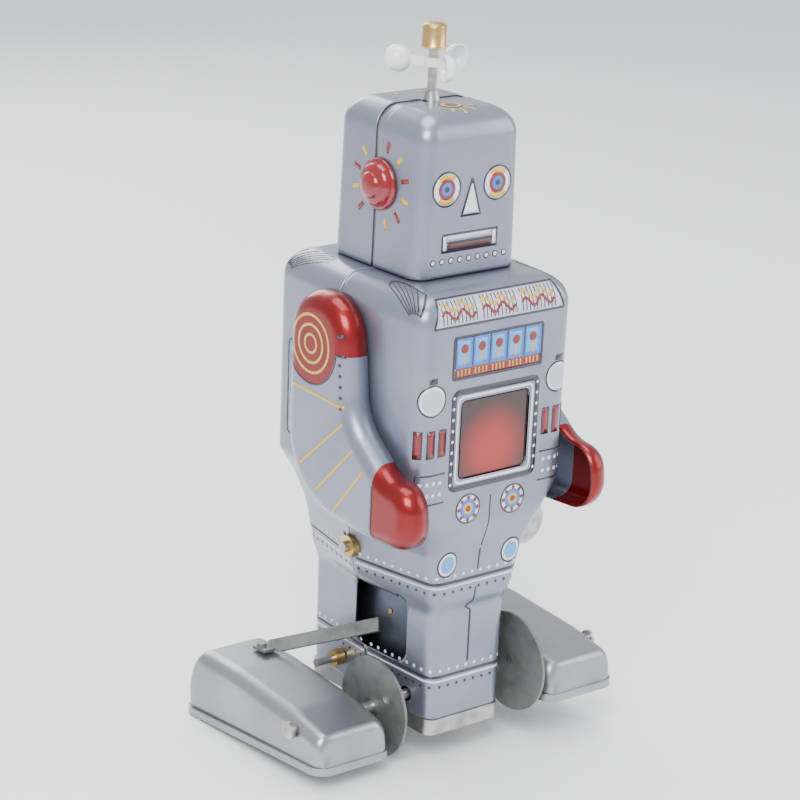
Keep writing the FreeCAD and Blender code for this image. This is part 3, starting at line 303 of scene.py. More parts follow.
def flankPlace(table, h, fromSeam):  # a on the flank at a distance from the seam plane
    seam, corner, depth = [np.interp(h, table["h"], table["sizes"][:, i]) for i in range(3)]
    return halfRun(table, h) - fromSeam * np.hypot(seam - corner, depth) / depth


def sheetNormal(table, face, a, h):
    step = 0.05
    along = sheetPoint(table, face, a + step, h) - sheetPoint(table, face, a - step, h)
    up = sheetPoint(table, face, a, h + step) - sheetPoint(table, face, a, h - step)
    normal = np.cross(along, up) * -face
    return normal / (np.linalg.norm(normal, axis=-1, keepdims=True) + 1e-12)


def evenShares(count):
    return np.linspace(0, 1, count + 1)[1:]


def halfGrid(table, face, edgeTrim, holes=(), rowStep=0.9, columns=(36, 9, 36)):
    # rows go up the wall; columns cross the face, the corner arcs and the flanks.  Near a hole the
    # grid's points slide along the slope of its signed distance onto its edge
    topRows, topRun = 50, 30
    h = np.concatenate([np.arange(table["h"][0], table["h"][-1] - topRun, rowStep),
                        np.linspace(table["h"][-1] - topRun, table["h"][-1], topRows)])
    sizes = [np.interp(h, table["h"], table["sizes"][:, i]) for i in range(4)]
    faceRun, arcRun, flankRun = outlineRuns(*sizes)[:3]
    onFace = np.outer(faceRun, np.linspace(0, 1, columns[0] + 1))
    onArc = faceRun[:, None] + np.outer(arcRun, evenShares(columns[1]))
    trimmed = np.maximum(flankRun - edgeTrim(h), 0)
    onFlank = (faceRun + arcRun)[:, None] + np.outer(trimmed, evenShares(columns[2]))
    right = np.concatenate([onFace, onArc, onFlank], 1)
    a = np.concatenate([-right[:, :0:-1], right], 1)
    limit = np.abs(a[:, -1:])
    h = np.repeat(h[:, None], a.shape[1], 1)
    solid = np.ones(a.shape, bool)
    for hole in holes:
        step, cell, slack = 0.05, 0.62, 0.12
        away = hole(sheetPoint(table, face, a, h))
        slopeA = (hole(sheetPoint(table, face, a + step, h))
                  - hole(sheetPoint(table, face, a - step, h))) / (2 * step)
        slopeH = (hole(sheetPoint(table, face, a, h + step))
                  - hole(sheetPoint(table, face, a, h - step))) / (2 * step)
        near = np.abs(away) < cell
        a = np.clip(a - np.where(near, away * slopeA, 0), -limit, limit)
        h = h - np.where(near, away * slopeH, 0)
        solid &= ~((away < 0) & ~near) & (hole(sheetPoint(table, face, a, h)) > -slack)
    points = sheetPoint(table, face, a, h)
    faces = gridFaces(*a.shape)
    kept = solid.reshape(-1)[faces].all(1)
    return points.reshape(-1, 3), faces[kept]


def roundedBoxGap(points, axes, centre, half, radius):  # signed distance to a rounded rectangle
    q = np.abs(points[..., axes] - np.array(centre)) - np.array(half) + radius
    return np.linalg.norm(np.maximum(q, 0), axis=-1) + np.minimum(q.max(-1), 0) - radius


# printed marks: thin closed films of ink laid on a sheet
inkNames = ("inkBlack", "inkWhite", "inkBlue", "inkSky", "inkRed", "inkYellow", "inkPale", "inkBrown")
filmSet = {"firstLift": 0.05, "liftStep": 0.03, "thickness": 0.015}


def newFilm(pointAt, normalAt):
    return {"point": pointAt, "normal": normalAt, "points": [], "faces": [], "inks": [], "count": 0}


def lay(film, ink, grid, layer=0):
    a, h = grid[..., 0], grid[..., 1]
    lift = filmSet["firstLift"] + layer * filmSet["liftStep"]
    points = film["point"](a, h) + film["normal"](a, h) * lift
    faces = gridFaces(grid.shape[0], grid.shape[1], film["count"])
    film["points"].append(points.reshape(-1, 3))
    film["faces"].append(faces)
    film["inks"].append(np.full(len(faces), inkNames.index("ink" + ink)))
    film["count"] += points.reshape(-1, 3).shape[0]


def patch(corners, step=1.2):  # four corners joined by straight sides
    c = np.array(corners, float)
    n = max(1, int(np.ceil(max(np.linalg.norm(c[1] - c[0]), np.linalg.norm(c[2] - c[3])) / step)))
    m = max(1, int(np.ceil(max(np.linalg.norm(c[3] - c[0]), np.linalg.norm(c[2] - c[1])) / step)))
    u, v = np.linspace(0, 1, n + 1)[None, :, None], np.linspace(0, 1, m + 1)[:, None, None]
    return (1 - v) * ((1 - u) * c[0] + u * c[1]) + v * ((1 - u) * c[3] + u * c[2])


def bar(a0, a1, h0, h1, step=1.2):
    return patch([(a0, h0), (a1, h0), (a1, h1), (a0, h1)], step)


def disc(centre, radius, tall=None, n=10):  # a square grid pressed into a circle
    u, v = np.meshgrid(np.linspace(-1, 1, n + 1), np.linspace(-1, 1, n + 1))
    x, y = u * np.sqrt(1 - v ** 2 / 2), v * np.sqrt(1 - u ** 2 / 2)
    return np.stack([centre[0] + radius * x, centre[1] + (tall or radius) * y], -1)


def ring(centre, inner, outer, start=0, end=360, n=48):
    angle = np.radians(np.linspace(start, end, n + 1))
    radius = np.array([inner, outer])[:, None]
    return np.stack([centre[0] + radius * np.cos(angle), centre[1] + radius * np.sin(angle)], -1)


def line(points, width, step=0.8):  # a polyline, its width laid off square to its way
    p = np.array(points, float)
    lengths = np.linalg.norm(np.diff(p, axis=0), axis=1)
    stops = np.concatenate([[0], np.cumsum(lengths)])
    inner = [np.arange(s, e, step)[1:] for s, e in zip(stops[:-1], stops[1:])]
    s = np.unique(np.concatenate([stops] + inner))
    path = np.stack([np.interp(s, stops, p[:, 0]), np.interp(s, stops, p[:, 1])], -1)
    way = np.gradient(path, axis=0)
    way /= np.linalg.norm(way, axis=1, keepdims=True) + 1e-12
    across = np.stack([-way[:, 1], way[:, 0]], -1) * width / 2
    return np.stack([path - across, path + across])


def roundedLoop(a0, a1, h0, h1, radius):
    corners = ((a1 - radius, h1 - radius, 0), (a0 + radius, h1 - radius, 90),
               (a0 + radius, h0 + radius, 180), (a1 - radius, h0 + radius, 270))
    points = []
    for x, y, start in corners:
        swing = np.radians(start + np.linspace(0, 90, 7))
        points.append(np.stack([x + radius * np.cos(swing), y + radius * np.sin(swing)], -1))
    points = np.concatenate(points)
    return np.concatenate([points, points[:1]])


def loop(a0, a1, h0, h1, width, radius=1.0):
    return line(roundedLoop(a0, a1, h0, h1, radius), width)


def finishFilm(film, name, body="root"):
    piece = makePiece(name, np.concatenate(film["points"]), np.concatenate(film["faces"]), inkNames,
                      body, faceInks=np.concatenate(film["inks"]),
                      inside=np.concatenate(film["points"]).mean(0) * (1, 0, 1),
                      thickness=filmSet["thickness"], offset=1.0)
    return piece


# the body: two pressed halves that meet on the middle plane
trayTop = boxOf("base_tray")[1][2]
shellTop = boxOf("front_shell")[1][2]
bodySet = {"shoulder": 8.0, "seamTrim": 0.25, "tin": 0.5, "blur": 4,
           "windowHalf": (12.0, 11.15), "windowCorner": 1.6,
           "barHalf": (11.6, 10.2), "barCorner": 4.5, "barAtWall": (0.0, 24.2),
           "axleHole": 2.3, "keyHole": 3.25, "rodHole": 1.5, "rimDepth": (-34.1, -33.8), "rimTin": 0.3}
chestTop = shellTop - bodySet["shoulder"]
# height, half-width at the seam, half-width at the corners, front depth, rear depth, corner radius
bodyLevels = ((trayTop, 14.6, 13.1, 28.0, 27.8, 3.5), (37.4, 15.0, 13.5, 28.1, 28.0, 3.5),
              (41, 18.9, 14.4, 29.7, 29.0, 4), (44, 20.5, 14.8, 30.0, 29.2, 4),
              (51, 21.7, 16.2, 30.5, 29.7, 4), (56, 22.6, 17.2, 31.0, 30.2, 4),
              (65, 26.0, 20.6, 34.1, 31.9, 4.5), (73, 29.3, 26.6, 34.1, 31.9, 5),
              (chestTop, 29.4, 27.0, 34.1, 31.9, 5))
frontTable, backTable = (levelTable([(level[0], level[1], level[2], level[depth], level[5])
                                     for level in bodyLevels], bodySet["shoulder"], bodySet["blur"])
                         for depth in (3, 4))
paneLow, paneHigh = boxOf("window_pane")
windowMiddle = (0.0, (paneLow[2] + paneHigh[2]) / 2)
axlePlace = jointPlace("drive_spin")[1:]
keyPlace = jointPlace("winder_spin")[1:]
rodPlace = (boxOf("guide_rod")[0][1:] + boxOf("guide_rod")[1][1:]) / 2
crankArm = jointPlace("right_foot_pivot")[1:] - axlePlace
barMiddle = np.array(bodySet["barAtWall"]) - crankArm


def windowGap(points):
    gap = roundedBoxGap(points, [0, 2], windowMiddle, bodySet["windowHalf"], bodySet["windowCorner"])
    return np.where(points[..., 1] < -20, gap, 50.0)


def barGap(points):
    gap = roundedBoxGap(points, [1, 2], barMiddle, bodySet["barHalf"], bodySet["barCorner"])
    return np.where(np.abs(points[..., 0]) > 8, gap, 50.0)


def roundGap(place, radius):
    def gap(points):
        away = np.hypot(points[..., 1] - place[0], points[..., 2] - place[1]) - radius
        return np.where(np.abs(points[..., 0]) > 8, away, 50.0)
    return gap


def bodyTrim(h):  # how far each half stops short of the seam plane
    return np.full(np.shape(h), bodySet["seamTrim"])


shellHoles = [barGap, roundGap(axlePlace, bodySet["axleHole"]), roundGap(keyPlace, bodySet["keyHole"])]
rodHole = roundGap(rodPlace, bodySet["rodHole"])
for name, table, face, holes in (("frontShellSkin", frontTable, -1, shellHoles + [windowGap]),
                                 ("backShellSkin", backTable, 1, shellHoles + [rodHole])):
    points, faces = halfGrid(table, face, bodyTrim, holes)
    # the inner wall takes the near-black painted shade finish
    makePiece(name, points, faces, ["lithoTin", "innerTinPaintedShade"], "root",
              ("front_shell" if face < 0 else "back_shell",), (0, 0, 80), bodySet["tin"])
for name in ("frontShellSkin", "backShellSkin"):
    bpy.data.objects[name].modifiers["wall"].material_offset = 1

# the turned-in edge of the window opening: its outline carried a little way in
rimLine = roundedLoop(-bodySet["windowHalf"][0], bodySet["windowHalf"][0],
                      windowMiddle[1] - bodySet["windowHalf"][1], windowMiddle[1] + bodySet["windowHalf"][1],
                      bodySet["windowCorner"])
rimDepth = np.array(bodySet["rimDepth"])[:, None]
rimPoints = np.stack([np.broadcast_to(rimLine[:, 0], (2, len(rimLine))),
                      np.broadcast_to(rimDepth, (2, len(rimLine))),
                      np.broadcast_to(rimLine[:, 1], (2, len(rimLine)))], -1)
makePiece("windowRim", rimPoints.reshape(-1, 3), gridFaces(2, len(rimLine)), "lithoTin", "root",
          inside=(0, -34, windowMiddle[1]), thickness=bodySet["rimTin"], offset=1.0)
print("stage: body skins made")


def onSheet(table, face):
    return newFilm(lambda a, h: sheetPoint(table, face, a, h), lambda a, h: sheetNormal(table, face, a, h))


def climb(table, z):  # the h that belongs to a height
    return float(np.interp(z, table["z"], table["h"]))


def target(film, centre, sizes, tall=1.0):  # discs of ink on one another
    for layer, (ink, radius) in enumerate(sizes):
        lay(film, ink, disc(centre, radius, radius * tall), layer)


def rivetBand(film, table, low, high):  # a black line over a white one with dots above and below
    end = min(halfRun(table, low), halfRun(table, high)) - 0.8
    lay(film, "Black", bar(-end, end, high - 0.9, high))
    lay(film, "White", bar(-end, end, low, low + 0.7))
    for a in np.arange(-end + 1.5, end - 1, 3.1):
        lay(film, "White", disc((a, high + 1.4), 0.55, n=4))
        lay(film, "Black", disc((a, low - 1.4), 0.5, n=4))


# heights, half-widths and steps of the printed marks, in millimetres
bodyPrint = {"fan": {"place": (28.5, 125), "lines": 7, "from": 126, "step": 13, "reach": (3.0, 11.5)},
             "panel": {"low": 124, "high": 131.2, "half": (23, 20.3), "cell": 14, "bars": 10, "barStep": 1.3},
             "levers": {"half": 15.7, "low": 108.8, "high": 120.6, "cell": 6.08, "split": (112, 120.4)},
             "frame": {"half": 14.9, "low": 77.0, "high": 104.9, "dots": 9},
             "gauge": (22.4, 103.9), "slot": {"step": 3.9, "half": (1.35, 0.9), "low": 87.4, "high": 95.4},
             "studs": {"first": 18.7, "step": 2.2, "high": 80, "drop": 3.4},
             "dial": (8.05, 70.4), "petal": 3.3, "drop": (11.46, 53.2), "targets": (62.5, 58.6),
             "bands": ((45.6, 47.8), (16.0, 18.2)),
             "louvre": {"between": (24, 15), "low": 81, "step": 4.2, "rows": 6, "gap": 1.5},
             "grille": {"middle": 12, "half": 5, "low": 83, "rows": 5}}


def fan(film, side):  # lines that spread from a point on the shoulder corner
    spread = bodyPrint["fan"]
    for step in range(spread["lines"]):
        lean = np.radians(spread["from"] - spread["step"] * step)
        lay(film, "Black", line([(side * (spread["place"][0] + r * math.cos(lean)),
                                  spread["place"][1] + r * math.sin(lean)) for r in spread["reach"]], 0.55))


frontInk = onSheet(frontTable, -1)
for side, start in ((-1, 54), (1, 48)):
    fan(frontInk, side)
    lay(frontInk, "Black", ring((side * bodyPrint["fan"]["place"][0], bodyPrint["fan"]["place"][1]),
                                11.3, 11.8, start, start + 78))
panel = bodyPrint["panel"]
panelTop = climb(frontTable, panel["high"])
(wide, narrow), panelLow = panel["half"], panel["low"]
corners = [(-wide, panelLow), (wide, panelLow), (narrow, panelTop), (-narrow, panelTop)]
lay(frontInk, "Pale", patch(corners))
lay(frontInk, "Black", line(corners + corners[:1], 0.6), 1)
for cell in range(3):
    left = panel["cell"] * (cell - 1.5)
    for step in range(panel["bars"]):
        a = left + 0.9 + step * panel["barStep"]
        lay(frontInk, "Black", bar(a, a + 0.35, panelLow + 0.8, panelTop - 0.9), 1)
    wave = np.linspace(0, 1, 15)
    for ink, height in (("Red", panelLow + 3.2), ("Yellow", panelLow + 5.4)):
        crest = np.stack([left + 0.8 + 11.6 * wave, height + 1.3 * np.sin(wave * 12.6)], -1)
        lay(frontInk, ink, line(crest, 0.8), 2)
levers = bodyPrint["levers"]
half, low, high = levers["half"], levers["low"], levers["high"]
lay(frontInk, "Blue", bar(-half, half, low, high))
lay(frontInk, "Black", loop(-half, half, low, high, 0.7, 0.6), 2)
lay(frontInk, "Red", bar(-half + 0.5, half - 0.5, low + 0.4, low + 3), 1)
for cell in range(5):
    left = -half + 0.5 + levers["cell"] * cell
    lay(frontInk, "Sky", bar(left + 0.7, left + 5.4, low + 3.8, high - 1), 1)
    lay(frontInk, "Black", bar(left - 0.2, left + 0.2, *levers["split"]), 2)
    lay(frontInk, "Yellow", bar(left + 2.75, left + 3.35, low + 3.8, low + 7.6), 2)
    lay(frontInk, "Red", disc((left + 3.05, low + 8.4), 1.3, n=6), 3)
    for step in range(4):
        a = left + 0.8 + 1.3 * step
        lay(frontInk, "Yellow", bar(a, a + 0.5, low + 0.8, low + 2.6), 2)
border = bodyPrint["frame"]
half, low, high = border["half"], border["low"], border["high"]
lay(frontInk, "Black", loop(-half, half, low, high, 1.6, 1.8))
lay(frontInk, "White", loop(-half + 1.6, half - 1.6, low + 1.5, high - 1.6, 0.8, 1.6), 1)
for z in np.linspace(low + 1.5, high - 1.4, border["dots"]):
    for side in (-1, 1):
        lay(frontInk, "White", disc((side * half, z), 0.45, n=4), 1)
slot, studs = bodyPrint["slot"], bodyPrint["studs"]
for side in (-1, 1):
    gauge = side * bodyPrint["gauge"][0]
    target(frontInk, (gauge, bodyPrint["gauge"][1]), (("Black", 4.6), ("White", 4.1), ("Pale", 3.3)))
    lay(frontInk, "Black", bar(gauge - 1.3, gauge + 1.3, 108.7, 110.3))
    for step in (-1, 0, 1):
        middle, (outer, inner) = gauge + slot["step"] * step, slot["half"]
        lay(frontInk, "Black", bar(middle - outer, middle + outer, slot["low"], slot["high"]))
        lay(frontInk, "Red", bar(middle - inner, middle + inner, slot["low"] + 0.5, slot["high"] - 0.5), 1)
    lay(frontInk, "Black", line([(side * a, z) for a, z in
                                 ((17, 82.5), (26.5, 82.5), (26.5, 74), (17, 74))], 0.5))
    for row in range(2):
        for step in range(4):
            place = (side * (studs["first"] + studs["step"] * step), studs["high"] - studs["drop"] * row)
            lay(frontInk, "White", disc(place, 0.6, n=4), 1)
    dial = (side * bodyPrint["dial"][0], bodyPrint["dial"][1])
    target(frontInk, dial, (("Black", 4.4), ("White", 3.9), ("Blue", 2.9), ("Yellow", 1.7), ("Red", 0.9)))
    for turn in range(8):
        way = np.array((math.cos(turn * math.pi / 4), math.sin(turn * math.pi / 4)))
        lay(frontInk, "Red", disc(dial + way * bodyPrint["petal"], 0.6, n=4), 3)
    drop = (side * bodyPrint["drop"][0], bodyPrint["drop"][1])
    target(frontInk, drop, (("Black", 3.5), ("White", 3.0), ("Sky", 2.3)), 1.15)
    lay(frontInk, "Black", bar(drop[0] - 0.8, drop[0] + 0.8, drop[1] - 3.9, drop[1] - 2.6))
lay(frontInk, "Black", line([(0, 73), (0, 57)], 0.4))
lay(frontInk, "Black", line([(0, 56), (0, 49.6)], 0.6))
lay(frontInk, "Black", line([(0, 44), (0, 39.6), (-2.2, 38), (0, 36.4), (0, 20.6)], 0.6))
backInk = onSheet(backTable, 1)
for film, table in ((frontInk, frontTable), (backInk, backTable)):
    for low, high in bodyPrint["bands"]:
        rivetBand(film, table, low, high)
louvre, grille = bodyPrint["louvre"], bodyPrint["grille"]
for side in (-1, 1):
    for z in bodyPrint["targets"]:
        place = side * flankPlace(frontTable, z, 3.2)
        target(frontInk, (place, z), (("White", 1.2), ("Blue", 0.9), ("Red", 0.5)))
    fan(backInk, side)
    inner, outer = (side * flankPlace(backTable, 100.0, away) for away in louvre["between"])
    left, right = min(inner, outer), max(inner, outer)
    lay(backInk, "Black", loop(left - 1, right + 1, 79, 107, 0.6, 1.5))
    for row in range(louvre["rows"]):
        low = louvre["low"] + louvre["step"] * row + (louvre["gap"] if row > 3 else 0)
        lay(backInk, "Sky", bar(left, right, low, low + 2.6))
        lay(backInk, "White", patch([(inner + side, low + 0.4), (inner + side * 4, low + 0.4),
                                     (inner + side * 6, low + 2.2), (inner + side * 3, low + 2.2)]), 1)
    middle, half = side * grille["middle"], grille["half"]
    lay(backInk, "Black", loop(middle - half - 2, middle + half + 2, 80, 104, 0.7, 2.0))
    for row in range(grille["rows"]):
        low = grille["low"] + louvre["step"] * row
        lay(backInk, "Black", bar(middle - half, middle + half, low, low + 1.4))
finishFilm(frontInk, "frontShellPrint")
finishFilm(backInk, "backShellPrint")
print("stage: body prints laid")

# the head: two pressed halves with a bright flange showing between them
headLow, headHigh = shellTop, boxOf("head_front")[1][2]
headSet = {"round": 7.4, "half": 18.5, "depth": 19.3, "corner": 4.5, "narrowing": 0.9, "tin": 0.45,
           "blur": 2, "seamTrim": (0.5, 0.8, 2.3), "cornerIn": 0.4,
           "flangeIn": 0.55, "flangeHalf": 3.2, "flangeTin": 0.25}
headWall = headHigh - headSet["round"]
headLevels = [(z, half, half - headSet["cornerIn"], headSet["depth"], headSet["corner"]) for z, half in (
    (headLow + 0.1, headSet["half"]), (headWall, headSet["half"] - headSet["narrowing"]))]
headTable = levelTable(headLevels, headSet["round"], headSet["blur"])


def headTrim(h):
    return np.interp(h, (headLow, headLow + 16, headTable["h"][-1] - 14), headSet["seamTrim"])


for name, face, node in (("frontHeadSkin", -1, "head_front"), ("backHeadSkin", 1, "head_back")):
    points, faces = halfGrid(headTable, face, headTrim)
    # the inner wall takes the near-black painted shade finish
    makePiece(name, points, faces, ["lithoTin", "innerTinPaintedShade"], "root", (node,), (0, 0, 155), headSet["tin"])
    bpy.data.objects[name].modifiers["wall"].material_offset = 1
# the bright flange under the head's gap: the seam outline a little way in, carried along Y
archH = np.concatenate([np.arange(headLow + 0.5, headTable["h"][-1], 0.8), [headTable["h"][-1]]])
archX = np.interp(archH, headTable["h"], headTable["sizes"][:, 0]) - headSet["flangeIn"]
archDrop = np.interp(archH, (headWall - 4, headWall + 6), (0, headSet["flangeIn"]))
archZ = np.interp(archH, headTable["h"], headTable["z"]) - archDrop
archX, archZ = np.concatenate([archX, -archX[-2::-1]]), np.concatenate([archZ, archZ[-2::-1]])
archX = np.where(np.abs(archX) < 0.6, 0, archX)
archY = np.linspace(-headSet["flangeHalf"], headSet["flangeHalf"], 9)
arch = np.stack(np.broadcast_arrays(archX[:, None], archY[None], archZ[:, None]), -1)
makePiece("headFlange", arch.reshape(-1, 3), gridFaces(len(archX), 9), "brightTin", "root",
          inside=(0, 0, 140), thickness=headSet["flangeTin"])

headPrint = {"eye": (8.92, 157.7), "eyeRings": (("Black", 5.0), ("White", 4.46)), "nose": (149.4, 160),
             "mouth": {"half": 9.9, "low": 139.8, "high": 145.2},
             "dots": {"count": 9, "step": 3.14, "height": 137.5},
             "crown": 8.5, "ray": (4.2, 7.2), "earHeight": 156.5, "spark": (9.4, 12.6)}
faceInk = onSheet(headTable, -1)
for side in (-1, 1):
    eye = (side * headPrint["eye"][0], headPrint["eye"][1])
    target(faceInk, eye, headPrint["eyeRings"])
    for start in (45, 225):
        lay(faceInk, "Yellow", ring(eye, 2.6, 4.3, start, start + 90, 16), 2)
    lay(faceInk, "Red", disc(eye, 2.9), 3)
    lay(faceInk, "Blue", disc(eye, 1.9), 4)
    lay(faceInk, "Black", disc(eye, 0.8, n=6), 5)
low, high = headPrint["nose"]
lay(faceInk, "Black", patch([(-3.7, low), (3.7, low), (0.35, high), (-0.35, high)]))
lay(faceInk, "White", patch([(-2.8, low + 0.7), (2.8, low + 0.7), (0.2, high - 1.6), (-0.2, high - 1.6)]), 1)
half, low, high = (headPrint["mouth"][key] for key in ("half", "low", "high"))
lay(faceInk, "Black", bar(-half, half, low, high))
lay(faceInk, "Pale", bar(-half + 2, half - 2, high - 2.3, high - 0.6), 1)
lay(faceInk, "Brown", bar(-half + 2, half - 2, low + 0.6, low + 2.6), 1)
for side in (-1, 1):
    lay(faceInk, "White", bar(side * 8.7 - 0.6, side * 8.7 + 0.6, low + 0.7, high - 0.7), 1)
dots = headPrint["dots"]
for step in range(dots["count"]):
    place = (dots["step"] * (step - (dots["count"] - 1) / 2), dots["height"])
    target(faceInk, place, (("Black", 0.95), ("White", 0.6)))
crownH = headTable["h"][-1] - headPrint["crown"]
target(faceInk, (0, crownH), (("Black", 3.4), ("Yellow", 3.0), ("Brown", 1.9)))
for side in (-1, 1):
    for step in range(3):
        lean = np.radians(25 + 32 * step)
        lay(faceInk, "Yellow", line([(side * r * math.cos(lean), crownH - r * math.sin(lean))
                                     for r in headPrint["ray"]], 0.8))
napeInk = onSheet(headTable, 1)
earH = headPrint["earHeight"]
earRun = halfRun(headTable, earH)
for side in (-1, 1):
    lay(napeInk, "Yellow", bar(side * 4 - 1.1, side * 4 + 1.1, crownH - 2, crownH - 0.8))
    lay(napeInk, "Black", loop(side * 8 - 4, side * 8 + 4, 146, 162, 0.6, 1.5))
    for film, shift in ((faceInk, -1.5), (napeInk, 1.5)):  # rays round the ear, short of the seam
        for step in range(6):
            lean = np.radians(-75 + 30 * step)
            spot = [(side * (earRun + shift - r * math.cos(lean)), earH + r * math.sin(lean))
                    for r in headPrint["spark"]]
            run = sorted(abs(a) for a, h in spot)
            if run[0] < earRun - 2.5 and run[1] < earRun - 1.5:
                lay(film, "Red" if step % 2 else "Yellow", line(spot, 1.3))
finishFilm(faceInk, "faceHeadPrint")
finishFilm(napeInk, "napeHeadPrint")
print("stage: head made")


def lathe(profile, centre, axis, name, material, node, body, turns=64):
    # radius and distance pairs turned about an axis of the frame
    profile = np.array(profile, float)
    angle = np.linspace(0, 2 * math.pi, turns + 1)
    along = {"x": 0, "z": 2}[axis]
    first, second = [i for i in range(3) if i != along]
    points = np.zeros((len(profile), turns + 1, 3))
    points[..., along] = profile[:, 1:2]
    points[..., first] = profile[:, :1] * np.cos(angle)
    points[..., second] = profile[:, :1] * np.sin(angle)
    points += np.array(centre)
    return makePiece(name, points.reshape(-1, 3), gridFaces(len(profile), turns + 1), material, body,
                     (node,))


for name, sign in (("right_ear", -1), ("left_ear", 1)):
    low, high = boxOf(name)
    radius, reach = (high[2] - low[2]) / 2, high[0] - low[0]
    centre = ((low[0] if sign > 0 else high[0]), (low[1] + high[1]) / 2, (low[2] + high[2]) / 2)
    shape = ((0, 0), (1, 0), (1, 0.06), (0.99, 0.12), (0.93, 0.2), (0.86, 0.22), (0.85, 0.3), (0.83, 0.42),
             (0.76, 0.56), (0.66, 0.66), (0.56, 0.70), (0.52, 0.71), (0.5, 0.76), (0.46, 0.86), (0.38, 0.93),
             (0.26, 0.98), (0.12, 1.0), (0, 1.0))
    lathe([(r * radius, sign * x * reach) for r, x in shape], centre, "x", name.split("_")[0] + "EarDome",
          "redEnamel", name, "root")
capLow, capHigh = boxOf("antenna_cap")
capRadius, capHeight = (capHigh[0] - capLow[0]) / 2, capHigh[2] - capLow[2]
lathe([(r * capRadius, z * capHeight) for r, z in (
    (0.4, 0), (0.93, 0), (1, 0.03), (1, 0.1), (0.94, 0.14), (0.94, 0.8), (0.92, 0.88), (0.82, 0.94),
    (0.5, 0.98), (0, 1.0))],
      (0, 0, capLow[2]), "z", "antennaCapTurned", "brass", "antenna_cap", "root")


# the arms: a bent outline in the YZ plane, pressed so its far edge is rounded
def roundedPath(corners):  # open path through (y, z, radius), each inner corner an arc
    corners = np.array(corners, float)
    out = [corners[0, :2]]
    for before, here, after in zip(corners[:-2], corners[1:-1], corners[2:]):
        u, v = before[:2] - here[:2], after[:2] - here[:2]
        u, v = u / np.linalg.norm(u), v / np.linalg.norm(v)
        opening = math.acos(np.clip(np.dot(u, v), -1, 1))
        run = here[2] / math.tan(opening / 2)
        middle = here[:2] + (u + v) / np.linalg.norm(u + v) * here[2] / math.sin(opening / 2)
        a, b = here[:2] + u * run - middle, here[:2] + v * run - middle
        swing = np.linspace(0, 1, 20)[:, None]
        arc = math.pi - opening
        out.extend(middle + (np.sin((1 - swing) * arc) * a + np.sin(swing * arc) * b) / math.sin(arc))
    out.append(corners[-1, :2])
    return np.array(out)


def evenly(path, count):  # points along a path, a little closer together near its ends
    stops = np.concatenate([[0], np.cumsum(np.linalg.norm(np.diff(path, axis=0), axis=1))])
    swing = np.linspace(0, math.pi, count)
    share = 0.5 - 0.5 * np.cos(swing)
    share = 0.65 * np.linspace(0, 1, count) + 0.35 * share
    return np.stack([np.interp(share * stops[-1], stops, path[:, i]) for i in range(2)], -1)


armSet = {"reach": 7.55, "rounding": 5.0, "tin": 0.5, "rows": 110, "columns": 46}
armFront = roundedPath([(0.6, 127.6, 0), (-12.2, 127.6, 12.5), (-15.8, 95.2, 16), (-31.0, 83.4, 12),
                        (-42.5, 82.2, 7.6), (-43.4, 73.4, 0)])
armRear = roundedPath([(0.6, 127.6, 0), (13.4, 127.6, 12.5), (13.8, 66.0, 24), (-22.0, 63.2, 40),
                       (-44.4, 64.6, 8.4), (-43.4, 73.4, 0)])
armOutline = np.concatenate([armFront, armRear[::-1]])


def fromOutline(y, z):  # distance to the nearest stretch of the outline
    starts, ends = armOutline[:-1], armOutline[1:]
    way = ends - starts
    flatPoints = np.stack([np.ravel(y), np.ravel(z)], -1)
    away = np.full(len(flatPoints), 1e9)
    for start, step in zip(starts, way):
        share = np.clip(((flatPoints - start) @ step) / (step @ step + 1e-12), 0, 1)
        away = np.minimum(away, np.linalg.norm(flatPoints - start - share[:, None] * step, axis=1))
    return away.reshape(np.shape(y))


def armHeight(y, z):  # a quarter round from the outline inwards, then flat
    share = np.clip(fromOutline(y, z) / armSet["rounding"], 0, 1)
    return armSet["reach"] - armSet["rounding"] * (1 - np.sqrt(1 - (1 - share) ** 2))


frontEdge, rearEdge = evenly(armFront, armSet["rows"]), evenly(armRear, armSet["rows"])
across = 0.5 - 0.5 * np.cos(np.linspace(0, math.pi, armSet["columns"]))
spread = frontEdge[:, None] * (1 - across[None, :, None]) + rearEdge[:, None] * across[None, :, None]
height = armHeight(spread[..., 0], spread[..., 1])
height[:, 0] = height[:, -1] = armSet["reach"] - armSet["rounding"]
spread = np.concatenate([spread[:, :1], spread, spread[:, -1:]], 1)
height = np.concatenate([height[:, :1] * 0, height, height[:, :1] * 0], 1)


# Y and Z of the printed marks and of the lines where the red paint ends
armPrint = {"middle": (2.0, 113.0), "rings": (2.6, 5.4, 8.2), "lobe": 11.4, "shoulder": 112.5, "wrist": -27.5,
            "stripeWidth": 0.9,
            "stripes": (((-13.4, 98.4), (12.2, 99.8)), ((5.5, 77), (-13.5, 94)),
                        ((-2.5, 71.5), (-18.5, 88)), ((-10.5, 67.5), (-23.5, 83.5)))}


